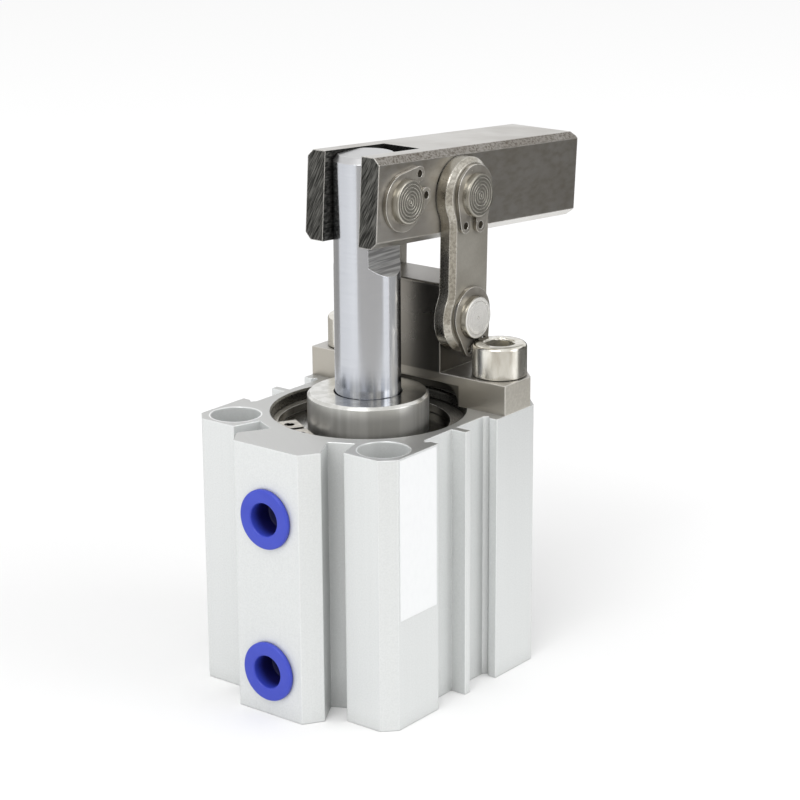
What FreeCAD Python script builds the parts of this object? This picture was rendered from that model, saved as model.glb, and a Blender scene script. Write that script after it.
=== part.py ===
import FreeCAD, Part
import os
import re
import Sketcher

# Lever clamp cylinder: a compact square air cylinder whose rod swings a clamp lever
# over two side links.
#
# Frame: millimetres, +Z up along the rod. The origin lies on the rod axis in the bottom
# face of the cylinder body. The lever points along +X, the two air ports face -X and the
# "near" side of each pair is the -Y side. The lever is modelled closed, rod fully out.

# Driving sizes
SIZES = [
    # Cylinder body
    ("case_side", 45.0, "width of the square body"),
    ("case_height", 50.0, "height of the body"),
    ("case_corner", 2.4, "bevel on the four upright corners"),
    ("bolt_inset", 5.5, "side of the body in to the mounting holes"),
    ("bolt_hole_dia", 5.5, "mounting hole"),
    ("counterbore_dia", 9.0, "counterbore round each mounting hole, at the top"),
    ("counterbore_depth", 5.4, "depth of that counterbore"),
    ("bore_dia", 32.0, "bore that the piston runs in"),
    ("mouth_dia", 35.0, "wider bore mouths that take the end covers"),
    ("mouth_chamfer", 0.4, "lead-in chamfer of both mouths"),
    ("front_seat_depth", 8.5, "top face down to the shoulder under the front cover"),
    ("rear_seat_depth", 5.5, "bottom face up to the shoulder over the rear cover"),
    ("front_ring_depth", 2.0, "top face down to the front retaining ring"),
    ("rear_ring_depth", 0.8, "bottom face up to the rear retaining ring"),
    # Port pad and slots of the extruded body
    ("pad_stand", 6.0, "side of the body out to the face of the port pad"),
    ("pad_face_width", 14.6, "flat face of the port pad"),
    ("pad_width", 19.2, "width of the pad behind its bevels"),
    ("pad_bevel", 3.5, "how far the pad's bevels run back"),
    ("pad_neck_width", 13.0, "neck that joins the pad to the body"),
    ("pad_neck_depth", 3.0, "body face to the foot of the neck"),
    ("pad_slot_depth", 5.2, "body face to the floor of the slots beside the pad"),
    ("pad_slot_floor_width", 22.0, "across the floors of those two slots"),
    ("pad_slot_mouth_width", 25.2, "across the mouths of those two slots"),
    ("slot_mouth_width", 17.4, "across the two sensor slots of a side"),
    ("slot_lip", 1.6, "thickness of the slot's lip"),
    ("slot_undercut", 0.8, "how far the slot runs behind its lip"),
    ("slot_depth", 3.1, "depth of the sensor slots"),
    ("rib_width", 1.4, "rib between the two sensor slots of a side"),
    # Air ports
    ("upper_port_drop", 13.0, "top face down to the upper port"),
    ("lower_port_height", 8.4, "bottom face up to the lower port"),
    ("port_dia", 8.6, "port bore"),
    ("port_depth", 8.0, "port bore depth from the pad's face"),
    ("passage_dia", 2.8, "air passage from port to cylinder"),
    ("upper_passage_drop", 10.3, "top face down to the upper passage"),
    ("lower_passage_height", 7.0, "bottom face up to the lower passage"),
    # Front cover
    ("front_cover_reach", 11.5, "top face down to the front cover's lower end"),
    ("front_spigot_dia", 28.0, "lower end of the front cover"),
    ("boss_dia", 22.1, "boss round the rod"),
    ("boss_rise", 3.5, "boss above the body's top face"),
    ("boss_chamfer", 0.5, "chamfer on the boss"),
    ("bush_outer_dia", 14.0, "rod bush, outside"),
    ("bush_length", 8.5, "rod bush, length"),
    ("seal_pocket_dia", 17.0, "pocket of the rod seal"),
    ("seal_pocket_drop", 1.8, "top face down to the seal pocket's floor"),
    ("seal_pocket_rise", 2.4, "top face up to the seal pocket's roof"),
    ("rod_hole_dia", 12.5, "hole in the boss round the rod"),
    ("wiper_undercut", 0.6, "wiper lip, height of its undercut below the pocket's roof"),
    ("seal_lip_length", 0.9, "lip at the foot of the rod seal"),
    ("rod_relief", 0.5, "free space round the rod between bush and seal"),
    # Rear cover
    ("rear_cover_reach", 7.0, "bottom face up to the rear cover's upper end"),
    ("rear_spigot_dia", 27.0, "upper end of the rear cover"),
    ("cord_dia", 1.5, "round sealing rings of both covers"),
    # Bumpers
    ("bumper_inner_dia", 16.0, "bumper rings, inside"),
    ("bumper_outer_dia", 25.0, "bumper rings, outside"),
    ("bumper_thick", 1.5, "bumper thickness"),
    ("bumper_sink", 1.0, "how deep a bumper sits in its cover"),
    # Retaining rings of the covers
    ("ring_thick", 1.5, "retaining ring thickness"),
    ("ring_outer_dia", 36.4, "retaining ring, outside"),
    ("ring_groove_dia", 36.8, "ring groove in the body"),
    ("ring_back_width", 3.4, "ring width across from its lugs"),
    ("ring_front_width", 1.75, "ring width beside its lugs"),
    ("ring_lug_reach", 12.2, "rod axis to the lugs' inner edge"),
    ("ring_lug_width", 4.4, "width of a lug"),
    ("ring_gap", 1.2, "gap between the lugs"),
    ("ring_hole_dia", 1.9, "plier holes in the lugs"),
    ("ring_hole_reach", 14.2, "rod axis to the plier holes"),
    ("front_ring_turn", 150.0, "direction of the front ring's lugs, from +X"),
    ("rear_ring_turn", -30.0, "direction of the rear ring's lugs, from +X"),
    # Piston and rod
    ("piston_height", 8.4, "piston length"),
    ("piston_gap", 0.1, "play between piston and bore"),
    ("piston_seal_width", 3.0, "groove of the piston seal"),
    ("piston_seal_depth", 2.9, "depth of that groove"),
    ("piston_seal_drop", 1.0, "piston top down to that groove"),
    ("piston_seal_waist", 0.25, "how far the piston seal's waist stands off the bore"),
    ("magnet_width", 2.0, "groove of the magnet ring"),
    ("magnet_depth", 2.4, "depth of that groove"),
    ("magnet_drop", 5.1, "piston top down to that groove"),
    ("spigot_dia", 8.0, "rod spigot in the piston"),
    ("screw_recess_dia", 10.6, "recess for the piston screw's head"),
    ("screw_recess_depth", 3.4, "depth of that recess"),
    ("piston_screw_dia", 5.0, "piston screw, thread"),
    ("piston_screw_length", 14.0, "piston screw, under its head"),
    ("piston_screw_head_dia", 9.8, "piston screw, head"),
    ("piston_screw_head", 3.0, "piston screw, head height"),
    ("piston_screw_chamfer", 0.4, "piston screw, chamfer on the head"),
    ("piston_socket_width", 4.0, "piston screw, hexagon across its flats"),
    ("piston_socket_depth", 2.0, "piston screw, depth of the hexagon"),
    ("rod_dia", 12.0, "piston rod"),
    ("rod_chamfer", 1.0, "chamfer at the rod's top"),
    ("rod_top_rise", 47.0, "body top to rod top, rod out"),
    ("tongue_rise", 27.6, "body top to the foot of the rod's flats"),
    ("tongue_thick", 7.9, "rod thickness between its flats"),
    ("flat_runout", 2.0, "how far the foot of a flat slopes down to the rod's outside"),
    # Linkage
    ("rod_pin_rise", 39.4, "body top to the rod pin, rod out"),
    ("pin_spacing", 16.5, "rod pin to fulcrum pin, along the lever"),
    ("lever_tilt", 4.1, "how far the closed lever dips towards its tip, degrees"),
    ("lower_pin_reach", 15.8, "rod axis to the lower pin"),
    ("lower_pin_rise", 15.8, "body top to the lower pin"),
    ("pin_dia", 8.0, "all three pins"),
    ("pin_chamfer", 0.5, "chamfer on the pin ends"),
    ("pin_tail", 1.2, "pin end beyond its clip"),
    ("lever_width", 16.0, "lever bar, width"),
    ("lever_height", 16.0, "lever bar, height"),
    ("lever_tail", 6.8, "rod pin to the lever's rear end"),
    ("lever_reach", 54.4, "rod pin to the lever's tip"),
    ("lever_bevel", 1.2, "bevel on the lever's long edges"),
    ("lever_tip_bevel", 0.8, "bevel at the lever's tip"),
    ("fork_width", 8.1, "fork slot that takes the rod"),
    ("fork_depth", 9.7, "rod pin to the end of the fork slot"),
    ("pivot_play_run", 1.28, "half the straight run of the fulcrum pin's slotted hole"),
    ("pivot_play_round", 1.46, "play round the pin at each end of that hole"),
    ("pivot_play_slope", 24.0, "slope of that hole against the lever, degrees"),
    ("link_thick", 3.0, "side link thickness"),
    ("link_gap", 0.1, "gap between lever and links, each side"),
    ("link_end_dia", 13.4, "round ends of the links"),
    ("link_waist", 11.2, "width of the links between their ends"),
    ("link_waist_shift", 0.35, "waist's middle beyond the line through the pins"),
    ("link_blend", 5.0, "hollow rounding from the links' ends to their waist"),
    ("link_bevel", 0.9, "bevel on the links' outer edges"),
    # Clips on the pins
    ("clip_thick", 0.8, "clip thickness"),
    ("clip_back_width", 1.7, "clip width across from its lugs"),
    ("clip_front_width", 1.1, "clip width beside its lugs"),
    ("clip_lug_dia", 2.7, "round lugs of the clip"),
    ("clip_lug_reach", 5.5, "pin axis to the lug's middle, along the gap"),
    ("clip_lug_offset", 2.25, "lug's middle off the gap's middle"),
    ("clip_gap", 1.75, "gap between the lugs"),
    ("clip_hole_dia", 1.4, "plier holes in the lugs"),
    ("clip_groove_depth", 0.2, "groove in the pin under a clip"),
    ("rod_clip_turn", 24.0, "direction of the rod pin clip's lugs, above +X"),
    ("fulcrum_clip_turn", -97.0, "direction of the fulcrum pin clip's lugs"),
    ("lower_clip_turn", -78.0, "direction of the lower pin clip's lugs"),
    # Clamp bracket and its screws
    ("bracket_front", 11.1, "rod axis to the bracket's front face"),
    ("plate_thick", 5.6, "bracket's foot plate"),
    ("plate_corner", 3.5, "bevel on the plate's two rear corners"),
    ("block_width", 15.8, "upright block between the links"),
    ("block_depth", 10.1, "upright block, front to back"),
    ("block_rise", 22.2, "body top to the block's top"),
    ("block_round", 0.6, "rounding on the block's top edges"),
    ("relief_width", 24.0, "relief under the plate, round the boss"),
    ("relief_height", 3.9, "height of that relief"),
    ("relief_depth", 7.0, "depth of that relief"),
    ("relief_round", 3.7, "rounding in the relief's upper corners"),
    ("screw_dia", 6.0, "bracket screws, thread"),
    ("screw_length", 20.0, "bracket screws, under the head"),
    ("screw_tip", 0.6, "bevel on the end of the thread"),
    ("thread_spare", 1.0, "tapped hole beyond the end of its screw"),
    ("screw_head_dia", 10.0, "bracket screws, head"),
    ("screw_head", 6.0, "bracket screws, head height"),
    ("screw_head_chamfer", 0.6, "chamfer on the head"),
    ("screw_hole_dia", 6.6, "screw holes in the plate"),
    ("socket_width", 5.0, "hexagon socket, across its flats"),
    ("socket_depth", 3.0, "hexagon socket, depth"),
    # Port plugs and label
    ("plug_flange_dia", 10.9, "port plug, flange"),
    ("plug_flange", 0.9, "port plug, flange thickness"),
    ("plug_round", 0.3, "bevel on the flange's edge"),
    ("plug_stem_length", 5.0, "port plug, stem"),
    ("plug_hole_dia", 6.0, "hollow of the plug"),
    ("plug_wall", 1.0, "end wall of the plug"),
    ("label_width", 10.4, "blank label, width"),
    ("label_height", 29.3, "blank label, height"),
    ("label_thick", 0.1, "blank label, thickness"),
    ("label_drop", 0.3, "body top down to the label"),
    ("label_inset", 2.8, "side of the body in to the label's edge"),
    # Clearances
    ("fit_gap", 0.02, "between pieces that are fitted tight"),
    ("run_gap", 0.05, "between a pin, rod or piston and what it runs in"),
    ("side_gap", 0.1, "sideways play of rings and clips in their grooves"),
    ("bolt_gap", 0.1, "round the screws' threads"),
    ("cut_over", 1.0, "how far a cut runs on past the solid"),
]

# Heights and radii that several pieces share, as formulas in the names above
BOLT_AT = "(case_side / 2 - bolt_inset)"
PAD_REACH = "(case_side / 2 + pad_stand)"
FRONT_SEAT = "(case_height - front_seat_depth)"
FRONT_RING = "(case_height - front_ring_depth - ring_thick)"
FRONT_COVER_END = "(case_height - front_cover_reach)"
REAR_RING_TOP = "(rear_ring_depth + ring_thick)"
REAR_FLANGE = "(rear_ring_depth + ring_thick + side_gap)"
FRONT_FLANGE = "(case_height - front_ring_depth - ring_thick - side_gap)"
PISTON_TOP = "(case_height - front_cover_reach - bumper_thick + bumper_sink - run_gap)"
PISTON_END = "(" + PISTON_TOP + " - piston_height)"
ROD_PIN_Z = "(case_height + rod_pin_rise)"
LOWER_PIN_Z = "(case_height + lower_pin_rise)"
FULCRUM_X = "(pin_spacing * cos(lever_tilt))"
FULCRUM_Z = "(case_height + rod_pin_rise - pin_spacing * sin(lever_tilt))"
LINK_LENGTH = ("sqrt((" + FULCRUM_X + " - lower_pin_reach)^2 + ("
               + FULCRUM_Z + " - " + LOWER_PIN_Z + ")^2)")
LINK_TILT = "atan((" + FULCRUM_X + " - lower_pin_reach) / (" + FULCRUM_Z + " - " + LOWER_PIN_Z + "))"
LINK_INSIDE = "(lever_width / 2 + link_gap)"
LINK_OUTSIDE = "(lever_width / 2 + link_gap + link_thick)"
PIN_GROOVE_DIA = "(pin_dia - 2 * clip_groove_depth)"

# Rough size at which sketches are drawn before their rules hold them, and tolerances
ROUGH = 10.0
NEAR = 1e-3
PARALLEL = 1e-6

doc = FreeCAD.newDocument("lever_clamp_cylinder")
sheet = doc.addObject("Spreadsheet::Sheet", "sizes")
for row, (name, size, note) in enumerate(SIZES, start=1):
    sheet.set("A%d" % row, name)
    sheet.set("B%d" % row, str(size))
    sheet.set("C%d" % row, note)
    sheet.setAlias("B%d" % row, name)
doc.recompute()
SUB_PARTS = []


def formula(text):
    """The text with each size's name written as the sheet's cell."""
    return re.sub(r"[a-z]+(?:_[a-z]+)+", lambda found: "sizes." + found.group(), str(text))


def bind(piece, **rules):
    """Binds properties of a piece to formulas, e.g. Radius="rod_dia / 2"."""
    for prop, text in rules.items():
        piece.setExpression(prop.replace("__", "."), formula(text))


def place(piece, x="0", y="0", z="0", axis=(0, 0, 1), turn="0"):
    """Sets a piece down at x, y, z, turned by turn degrees about an axis."""
    rotation = FreeCAD.Rotation(FreeCAD.Vector(*axis), 1)
    piece.Placement = FreeCAD.Placement(FreeCAD.Vector(), rotation)
    bind(piece, Placement__Base__x=x, Placement__Base__y=y, Placement__Base__z=z)
    bind(piece, Placement__Rotation__Angle=turn)


def finished(piece, label):
    """Names a sub-part and lists it for the export."""
    piece.Label = label
    SUB_PARTS.append(piece)
    return piece


# Sketches

def sketch(body, name, plane, offset="0"):
    """An empty sketch on one of the body's own planes, moved along its normal."""
    page = body.newObject("Sketcher::SketchObject", name)
    origin_plane = [item for item in body.Origin.OriginFeatures if item.Role == plane][0]
    page.AttachmentSupport = [(origin_plane, "")]
    page.MapMode = "FlatFace"
    bind(page, AttachmentOffset__Base__z=offset)
    return page


def fix_point(page, edge, end, x, y):
    """Holds one point of a sketch at x, y, both formulas."""
    for kind, text in (("DistanceX", x), ("DistanceY", y)):
        rule = page.addConstraint(Sketcher.Constraint(kind, -1, 1, edge, end, 1.0))
        page.setExpression("Constraints[%d]" % rule, formula(text))


def outline(page, corners):
    """A closed outline of straight edges through corners, each a pair of formulas."""
    first = page.GeometryCount
    count = len(corners)
    ring = Part.makeCircle(ROUGH).discretize(count + 1)
    for number in range(count):
        page.addGeometry(Part.LineSegment(ring[number], ring[number + 1]), False)
    for number, (x, y) in enumerate(corners):
        following = first + (number + 1) % count
        page.addConstraint(Sketcher.Constraint("Coincident", first + number, 2, following, 1))
        fix_point(page, first + number, 1, x, y)


def circle(page, x, y, diameter):
    """A circle about x, y."""
    edge = page.addGeometry(Part.Circle(FreeCAD.Vector(), FreeCAD.Vector(0, 0, 1), ROUGH), False)
    fix_point(page, edge, 3, x, y)
    rule = page.addConstraint(Sketcher.Constraint("Diameter", edge, ROUGH))
    page.setExpression("Constraints[%d]" % rule, formula(diameter))


def box_outline(page, low_x, high_x, low_y, high_y):
    """An upright rectangle."""
    outline(page, [(low_x, low_y), (high_x, low_y), (high_x, high_y), (low_x, high_y)])


# Features of a body

def pad(body, page, length, both_ways=False):
    """Pushes a sketch out by a length, or by half of it each way."""
    feature = body.newObject("PartDesign::Pad", page.Name + "_pad")
    feature.Profile = page
    feature.Midplane = both_ways
    bind(feature, Length=length)
    doc.recompute()
    return feature


def pocket(body, page, length=None, both_ways=False, back=False):
    """Cuts a sketch into the body, through all of it where no length is given."""
    before = body.Shape.Volume
    feature = body.newObject("PartDesign::Pocket", page.Name + "_pocket")
    feature.Profile = page
    feature.Midplane = both_ways
    feature.Reversed = back
    if length is None:
        feature.Type = "ThroughAll"
    else:
        bind(feature, Length=length)
    doc.recompute()
    if body.Shape.Volume > before - NEAR:
        raise RuntimeError(page.Name + " cuts nothing")
    return feature


def turned(name, corners):
    """A body turned about Z from a closed outline of radius and height pairs."""
    body = doc.addObject("PartDesign::Body", name)
    page = sketch(body, name + "_profile", "XZ_Plane")
    outline(page, corners)
    feature = body.newObject("PartDesign::Revolution", name + "_turned")
    feature.Profile = page
    feature.ReferenceAxis = (page, ["V_Axis"])
    feature.Angle = 360.0
    doc.recompute()
    return body


def edge_names(body, wanted):
    """Names of the body's edges that pass a test."""
    edges = body.Tip.Shape.Edges
    return ["Edge%d" % number for number, edge in enumerate(edges, start=1) if wanted(edge)]


def dress(body, kind, edges, **rules):
    """A Fillet or Chamfer on named edges."""
    base = body.Tip
    feature = body.newObject("PartDesign::" + kind, body.Name + "_" + kind.lower())
    feature.Base = (base, edges)
    bind(feature, **rules)
    doc.recompute()
    return feature


def runs_along(edge, axis):
    """Whether an edge is straight and parallel to an axis, given as x, y or z."""
    if edge.Curve.TypeId != "Part::GeomLine":
        return False
    return abs(abs(getattr(edge.Curve.Direction, axis)) - 1) < PARALLEL


def middle(edge):
    """The middle of an edge."""
    return edge.BoundBox.Center


def cell(name):
    """The number in a cell."""
    return float(sheet.get(name))


# Cylinder body

def slot_outlines(page, side):
    """The two sensor slots of one side. side turns (along, outward) into (x, y)."""
    face = "case_side / 2 + cut_over"
    lip = "case_side / 2 - slot_lip"
    knee = "case_side / 2 - slot_lip - slot_undercut"
    floor = "case_side / 2 - slot_depth"
    for sign in ("", "-"):
        mouth = "slot_mouth_width / 2"
        corners = [("rib_width / 2", face), (mouth, face), (mouth, lip),
                   (mouth + " + slot_undercut", knee), (mouth, floor), ("rib_width / 2", floor)]
        outline(page, [side(sign + "(" + along + ")", outward) for along, outward in corners])


def make_cylinder_body():
    body = doc.addObject("PartDesign::Body", "cylinder_body")
    half = "case_side / 2"
    page = sketch(body, "case_outline", "XY_Plane")
    upper = [("-case_side / 2 + case_corner", half), ("-case_side / 2", "case_side / 2 - case_corner"),
             ("-case_side / 2", "pad_slot_mouth_width / 2"),
             ("-case_side / 2 + pad_slot_depth", "pad_slot_floor_width / 2"),
             ("-case_side / 2 + pad_neck_depth", "pad_neck_width / 2"),
             ("-" + PAD_REACH + " + pad_bevel", "pad_width / 2"), ("-" + PAD_REACH, "pad_face_width / 2")]
    lower = [(x, "-(" + y + ")") for x, y in reversed(upper)]
    right = [("case_side / 2 - case_corner", "-case_side / 2"),
             (half, "-case_side / 2 + case_corner"),
             (half, "case_side / 2 - case_corner"),
             ("case_side / 2 - case_corner", half)]
    outline(page, upper + lower + right)
    pad(body, page, "case_height")

    page = sketch(body, "sensor_slots", "XY_Plane")
    slot_outlines(page, lambda along, outward: (along, outward))
    slot_outlines(page, lambda along, outward: (along, "-(" + outward + ")"))
    slot_outlines(page, lambda along, outward: (outward, along))
    pocket(body, page, back=True)

    page = sketch(body, "bore_profile", "XZ_Plane")
    mouth = "mouth_dia / 2"
    groove = "ring_groove_dia / 2"
    outline(page, [
        ("0", "0"), ("mouth_dia / 2 + mouth_chamfer", "0"), (mouth, "mouth_chamfer"),
        (mouth, "rear_ring_depth - side_gap"), (groove, "rear_ring_depth - side_gap"),
        (groove, REAR_RING_TOP), (mouth, REAR_RING_TOP), (mouth, "rear_seat_depth"),
        ("bore_dia / 2", "rear_seat_depth"), ("bore_dia / 2", FRONT_SEAT), (mouth, FRONT_SEAT),
        (mouth, FRONT_RING), (groove, FRONT_RING),
        (groove, "case_height - front_ring_depth + side_gap"),
        (mouth, "case_height - front_ring_depth + side_gap"),
        (mouth, "case_height - mouth_chamfer"),
        ("mouth_dia / 2 + mouth_chamfer", "case_height"), ("0", "case_height")])
    before = body.Shape.Volume
    feature = body.newObject("PartDesign::Groove", "bore_groove")
    feature.Profile = page
    feature.ReferenceAxis = (page, ["V_Axis"])
    feature.Angle = 360.0
    doc.recompute()
    if body.Shape.Volume > before - NEAR:
        raise RuntimeError("the bore cuts nothing")

    for name, offset, diameter, depth, columns in (
            ("mounting_holes", "case_height", "bolt_hole_dia", None, ("", "-")),
            ("counterbores", "case_height", "counterbore_dia", "counterbore_depth", ("", "-")),
            ("thread_holes", "case_height", "screw_dia + 2 * bolt_gap",
             "screw_length - plate_thick + thread_spare", ("",))):
        page = sketch(body, name, "XY_Plane", offset)
        for column in columns:
            for line in ("", "-"):
                circle(page, column + BOLT_AT, line + BOLT_AT, diameter)
        pocket(body, page, depth)

    port_heights = ("case_height - upper_port_drop", "lower_port_height")
    passage_heights = ("case_height - upper_passage_drop", "lower_passage_height")
    for name, heights, diameter, depth in (
            ("ports", port_heights, "port_dia", "port_depth"),
            ("passages", passage_heights, "passage_dia", PAD_REACH + " - bore_dia / 2 + cut_over")):
        page = sketch(body, name, "YZ_Plane", "-" + PAD_REACH)
        for height in heights:
            circle(page, "0", height, diameter)
        pocket(body, page, depth, back=True)
    return finished(body, "cylinder_body")


# End covers, with what seals, guides and holds them

def sealing_ring_outline(outer, low, high):
    """The groove for a round sealing ring in a flange between two heights."""
    floor = outer + " - cord_dia - fit_gap"
    centre = "(" + low + " + " + high + ") / 2"
    return [(outer, centre + " - cord_dia / 2 - side_gap"), (floor, centre + " - cord_dia / 2 - side_gap"),
            (floor, centre + " + cord_dia / 2 + side_gap"), (outer, centre + " + cord_dia / 2 + side_gap")]


def make_sealing_ring(label, low, high):
    ring = doc.addObject("Part::Torus", label)
    bind(ring, Radius1="mouth_dia / 2 - cord_dia / 2 - fit_gap", Radius2="cord_dia / 2")
    place(ring, z="(" + low + " + " + high + ") / 2")
    return finished(ring, label)


def make_front_cover():
    outer = "mouth_dia / 2 - fit_gap"
    bush = "bush_outer_dia / 2"
    bush_end = FRONT_COVER_END + " + bush_length + side_gap"
    pocket_floor = "case_height - seal_pocket_drop"
    pocket_roof = "case_height + seal_pocket_rise"
    top = "case_height + boss_rise"
    recess = FRONT_COVER_END + " + bumper_sink"
    cover = turned("front_cover", [
        (bush, FRONT_COVER_END), ("bumper_inner_dia / 2 - fit_gap", FRONT_COVER_END),
        ("bumper_inner_dia / 2 - fit_gap", recess), ("bumper_outer_dia / 2 + fit_gap", recess),
        ("bumper_outer_dia / 2 + fit_gap", FRONT_COVER_END), ("front_spigot_dia / 2", FRONT_COVER_END),
        ("front_spigot_dia / 2", FRONT_SEAT), (outer, FRONT_SEAT)]
        + sealing_ring_outline(outer, FRONT_SEAT, FRONT_FLANGE) + [
        (outer, FRONT_FLANGE), ("boss_dia / 2", FRONT_FLANGE), ("boss_dia / 2", top + " - boss_chamfer"),
        ("boss_dia / 2 - boss_chamfer", top), ("rod_hole_dia / 2", top), ("rod_hole_dia / 2", pocket_roof),
        ("seal_pocket_dia / 2", pocket_roof), ("seal_pocket_dia / 2", pocket_floor),
        ("rod_dia / 2 + rod_relief", pocket_floor), ("rod_dia / 2 + rod_relief", bush_end), (bush, bush_end)])
    finished(cover, "front_cover")
    make_sealing_ring("front_cover_sealing_ring", FRONT_SEAT, FRONT_FLANGE)


def make_rod_bush():
    bush = turned("rod_bush", [
        ("rod_dia / 2 + run_gap", FRONT_COVER_END), ("bush_outer_dia / 2 - fit_gap", FRONT_COVER_END),
        ("bush_outer_dia / 2 - fit_gap", FRONT_COVER_END + " + bush_length"),
        ("rod_dia / 2 + run_gap", FRONT_COVER_END + " + bush_length")])
    finished(bush, "rod_bush")


def make_rod_seal():
    inner = "rod_dia / 2 + fit_gap"
    relief = "rod_dia / 2 + rod_relief"
    outer = "seal_pocket_dia / 2 - fit_gap"
    low = "case_height - seal_pocket_drop + fit_gap"
    high = "case_height + seal_pocket_rise - fit_gap"
    seal = turned("rod_seal", [
        (relief, low), (outer, low), (outer, high), (inner, high), (relief, high + " - wiper_undercut"),
        (relief, "case_height"), (inner, "case_height - seal_pocket_drop + seal_lip_length")])
    finished(seal, "rod_seal")


def make_rear_cover():
    outer = "mouth_dia / 2 - fit_gap"
    top = "rear_cover_reach"
    recess = "rear_cover_reach - bumper_sink"
    groove = sealing_ring_outline(outer, REAR_FLANGE, "rear_seat_depth")
    cover = turned("rear_cover", [
        ("0", REAR_FLANGE), (outer, REAR_FLANGE)] + groove + [
        (outer, "rear_seat_depth"), ("rear_spigot_dia / 2", "rear_seat_depth"), ("rear_spigot_dia / 2", top),
        ("bumper_outer_dia / 2 + fit_gap", top), ("bumper_outer_dia / 2 + fit_gap", recess),
        ("bumper_inner_dia / 2 - fit_gap", recess), ("bumper_inner_dia / 2 - fit_gap", top), ("0", top)])
    finished(cover, "rear_cover")
    make_sealing_ring("rear_cover_sealing_ring", REAR_FLANGE, "rear_seat_depth")


def make_bumper(label, low):
    bumper = turned(label, [
        ("bumper_inner_dia / 2", low), ("bumper_outer_dia / 2", low),
        ("bumper_outer_dia / 2", low + " + bumper_thick"), ("bumper_inner_dia / 2", low + " + bumper_thick")])
    finished(bumper, label)


def make_retaining_ring(label, low, turn):
    """Inside ring with two lugs, drawn with its lugs towards +X, then turned."""
    body = doc.addObject("PartDesign::Body", label)
    page = sketch(body, label + "_band", "XY_Plane")
    circle(page, "0", "0", "ring_outer_dia")
    circle(page, "(ring_back_width - ring_front_width) / 2", "0",
           "ring_outer_dia - ring_back_width - ring_front_width")
    pad(body, page, "ring_thick")
    page = sketch(body, label + "_lugs", "XY_Plane")
    box_outline(page, "ring_lug_reach", "ring_outer_dia / 2 - ring_front_width / 2",
                "-ring_lug_width - ring_gap / 2", "ring_lug_width + ring_gap / 2")
    pad(body, page, "ring_thick")
    page = sketch(body, label + "_gap", "XY_Plane")
    box_outline(page, "ring_lug_reach - cut_over", "ring_outer_dia / 2 + cut_over",
                "-ring_gap / 2", "ring_gap / 2")
    for sign in ("", "-"):
        circle(page, "ring_hole_reach", sign + "(ring_gap + ring_lug_width) / 2", "ring_hole_dia")
    pocket(body, page, back=True)
    place(body, z=low, turn=turn)
    finished(body, label)


# Piston and rod

def make_piston_and_rod():
    outer = "bore_dia / 2 - piston_gap"
    seal_top = PISTON_TOP + " - piston_seal_drop"
    seal_end = seal_top + " - piston_seal_width"
    seal_floor = outer + " - piston_seal_depth"
    magnet_top = PISTON_TOP + " - magnet_drop"
    magnet_end = magnet_top + " - magnet_width"
    magnet_floor = outer + " - magnet_depth"
    recess = PISTON_END + " + screw_recess_depth"
    finished(turned("piston", [
        ("spigot_dia / 2", recess), ("screw_recess_dia / 2", recess), ("screw_recess_dia / 2", PISTON_END),
        (outer, PISTON_END), (outer, magnet_end), (magnet_floor, magnet_end), (magnet_floor, magnet_top),
        (outer, magnet_top), (outer, seal_end), (seal_floor, seal_end), (seal_floor, seal_top),
        (outer, seal_top), (outer, PISTON_TOP), ("spigot_dia / 2", PISTON_TOP)]), "piston")

    lip = "bore_dia / 2 - run_gap"
    waist = "bore_dia / 2 - piston_seal_waist"
    finished(turned("piston_seal", [
        (seal_floor + " + fit_gap", seal_end + " + side_gap"), (lip, seal_end + " + side_gap"),
        (waist, seal_end + " + piston_seal_width / 2"), (lip, seal_top + " - side_gap"),
        (seal_floor + " + fit_gap", seal_top + " - side_gap")]), "piston_seal")

    finished(turned("magnet_ring", [
        (magnet_floor + " + fit_gap", magnet_end + " + fit_gap"),
        (outer + " - side_gap", magnet_end + " + fit_gap"),
        (outer + " - side_gap", magnet_top + " - fit_gap"),
        (magnet_floor + " + fit_gap", magnet_top + " - fit_gap")]), "magnet_ring")

    head = recess + " - piston_screw_head"
    screw = turned("piston_screw", [
        ("0", head), ("piston_screw_head_dia / 2 - piston_screw_chamfer", head),
        ("piston_screw_head_dia / 2", head + " + piston_screw_chamfer"),
        ("piston_screw_head_dia / 2", recess), ("piston_screw_dia / 2", recess),
        ("piston_screw_dia / 2", recess + " + piston_screw_length"),
        ("0", recess + " + piston_screw_length")])
    page = sketch(screw, "piston_screw_socket", "XY_Plane", head)
    hexagon(page, "piston_socket_width")
    pocket(screw, page, "piston_socket_depth", back=True)
    finished(screw, "piston_screw")

    top = "case_height + rod_top_rise"
    hole_end = recess + " + piston_screw_length + thread_spare"
    rod = turned("piston_rod", [
        ("piston_screw_dia / 2 + bolt_gap", recess), ("spigot_dia / 2 - fit_gap", recess),
        ("spigot_dia / 2 - fit_gap", PISTON_TOP), ("rod_dia / 2", PISTON_TOP),
        ("rod_dia / 2", top + " - rod_chamfer"), ("rod_dia / 2 - rod_chamfer", top), ("0", top),
        ("0", hole_end), ("piston_screw_dia / 2 + bolt_gap", hole_end)])
    page = sketch(rod, "rod_flats", "YZ_Plane")
    foot = "case_height + tongue_rise"
    end = "rod_dia / 2 + cut_over"
    slope = "flat_runout * (rod_dia / 2 + cut_over - tongue_thick / 2) / (rod_dia / 2 - tongue_thick / 2)"
    for sign in ("", "-"):
        outline(page, [(sign + "tongue_thick / 2", foot), (sign + "(" + end + ")", foot + " - " + slope),
                       (sign + "(" + end + ")", top + " + cut_over"),
                       (sign + "tongue_thick / 2", top + " + cut_over")])
    pocket(rod, page, both_ways=True)
    page = sketch(rod, "rod_pin_hole", "XZ_Plane")
    circle(page, "0", ROD_PIN_Z, "pin_dia + 2 * run_gap")
    pocket(rod, page, both_ways=True)
    finished(rod, "piston_rod")


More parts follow.
